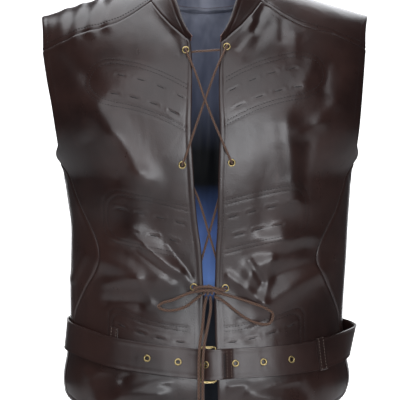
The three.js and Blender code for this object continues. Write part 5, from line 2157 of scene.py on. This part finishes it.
# name, place and aim in metres, size in metres and power in watts
LIGHTS = (
    ("Front softbox", (-0.1, -2.6, 0.8), MIDDLE, (3.0, 1.9), 34),
    ("Key softbox", (0.35, -2.6, -0.3), MIDDLE, (1.5, 0.5), 18),
    ("Top softbox", (-0.25, -0.1, 1.5), MIDDLE, (2.8, 1.6), 40),
    ("Hem light", (0.0, -0.02, -0.9), (0, 0.08, -0.3), (0.3, 0.16), 2.2),
    ("Back softbox", (0.3, 1.3, 0.9), MIDDLE, (1.4, 1.0), 14),
)


def area_light(name, place, aim, size, watts):
    light = bpy.data.lights.new(name, "AREA")
    light.shape = "RECTANGLE"
    light.size, light.size_y = size
    light.energy = watts
    light.color = (0.93, 0.96, 1.0)
    obj = bpy.data.objects.new(name, light)
    obj.location = place
    obj.rotation_euler = (Vector(aim) - Vector(place)).to_track_quat("-Z", "Y").to_euler()
    bpy.context.scene.collection.objects.link(obj)


class VEST_OT_stage(bpy.types.Operator):
    """Set up the camera, the pale floor, the backdrop and soft lights"""

    bl_idname = "vest.stage"
    bl_label = "Stage"

    camera_x = -0.0081
    camera_z = -0.2876
    sensor = 36.0

    def execute(self, context):
        settings = context.scene.vest_stage
        camera = bpy.data.cameras.new("Camera")
        camera.sensor_width = self.sensor
        camera.lens = self.sensor * settings.distance / settings.field
        obj = bpy.data.objects.new("Camera", camera)
        obj.location = (self.camera_x, -settings.distance, self.camera_z)
        obj.rotation_euler = (math.radians(90), 0, 0)
        context.scene.collection.objects.link(obj)
        context.scene.camera = obj
        self.paper(settings)
        self.lights(context)
        return {"FINISHED"}

    def paper(self, settings):
        for name, size, place, turn, tone, glow in (
            ("floor", 6, (0, 0, -settings.floor_drop), 0, 0.8, 0.0),
            ("backdrop", 2.6, (0, 2.8, -0.3), math.radians(90), 0.9, 1.0),
        ):
            bm = bmesh.new()
            bmesh.ops.create_grid(bm, x_segments=4, y_segments=4, size=size / 2)
            spin = Matrix.Rotation(turn, 4, "X")
            bmesh.ops.transform(bm, matrix=Matrix.Translation(place) @ spin, verts=bm.verts[:])
            mesh_object(name, bm, [paper_material(f"Paper {name}", tone, glow)])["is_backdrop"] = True

    def lights(self, context):
        for light in LIGHTS:
            area_light(*light)
        world = bpy.data.worlds.new("Studio")
        world.use_nodes = True
        background = world.node_tree.nodes["Background"]
        background.inputs["Color"].default_value = (0.9, 0.93, 1.0, 1)
        background.inputs["Strength"].default_value = 0.06
        context.scene.world = world
        context.scene.view_settings.view_transform = "Standard"


# ---- panel and registration ----


class VEST_PT_panel(bpy.types.Panel):
    """Lists the vest's pieces and their settings"""

    bl_label = "Costume Vest"
    bl_idname = "VEST_PT_panel"
    bl_space_type = "VIEW_3D"
    bl_region_type = "UI"
    bl_category = "Vest"

    def draw(self, context):
        for operator in OPERATORS:
            self.layout.operator(operator.bl_idname)
        for group, settings in SETTINGS.items():
            box = self.layout.box()
            box.label(text=settings.__doc__)
            for name in settings.__annotations__:
                box.prop(getattr(context.scene, group), name)


OPERATORS = (
    VEST_OT_stage,
    VEST_OT_lace,
    VEST_OT_fronts,
    VEST_OT_body,
    VEST_OT_collar,
    VEST_OT_lining,
    VEST_OT_eyelets,
    VEST_OT_belt,
    VEST_OT_belt_loops,
    VEST_OT_stitching,
)
CLASSES = (*SETTINGS.values(), *OPERATORS, VEST_PT_panel)


def register():
    for each in CLASSES:
        bpy.utils.register_class(each)
    for group, settings in SETTINGS.items():
        setattr(bpy.types.Scene, group, bpy.props.PointerProperty(type=settings))


def unregister():
    for group in SETTINGS:
        delattr(bpy.types.Scene, group)
    for each in reversed(CLASSES):
        bpy.utils.unregister_class(each)


def main():
    register()
    for operator in OPERATORS:
        category, name = operator.bl_idname.split(".")
        getattr(getattr(bpy.ops, category), name)()
    boxes = {"cad": CAD_BOX, "visual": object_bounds()}
    {k: [list(corner) for corner in box] for k, box in boxes.items()}


if __name__ == "__main__":
    main()
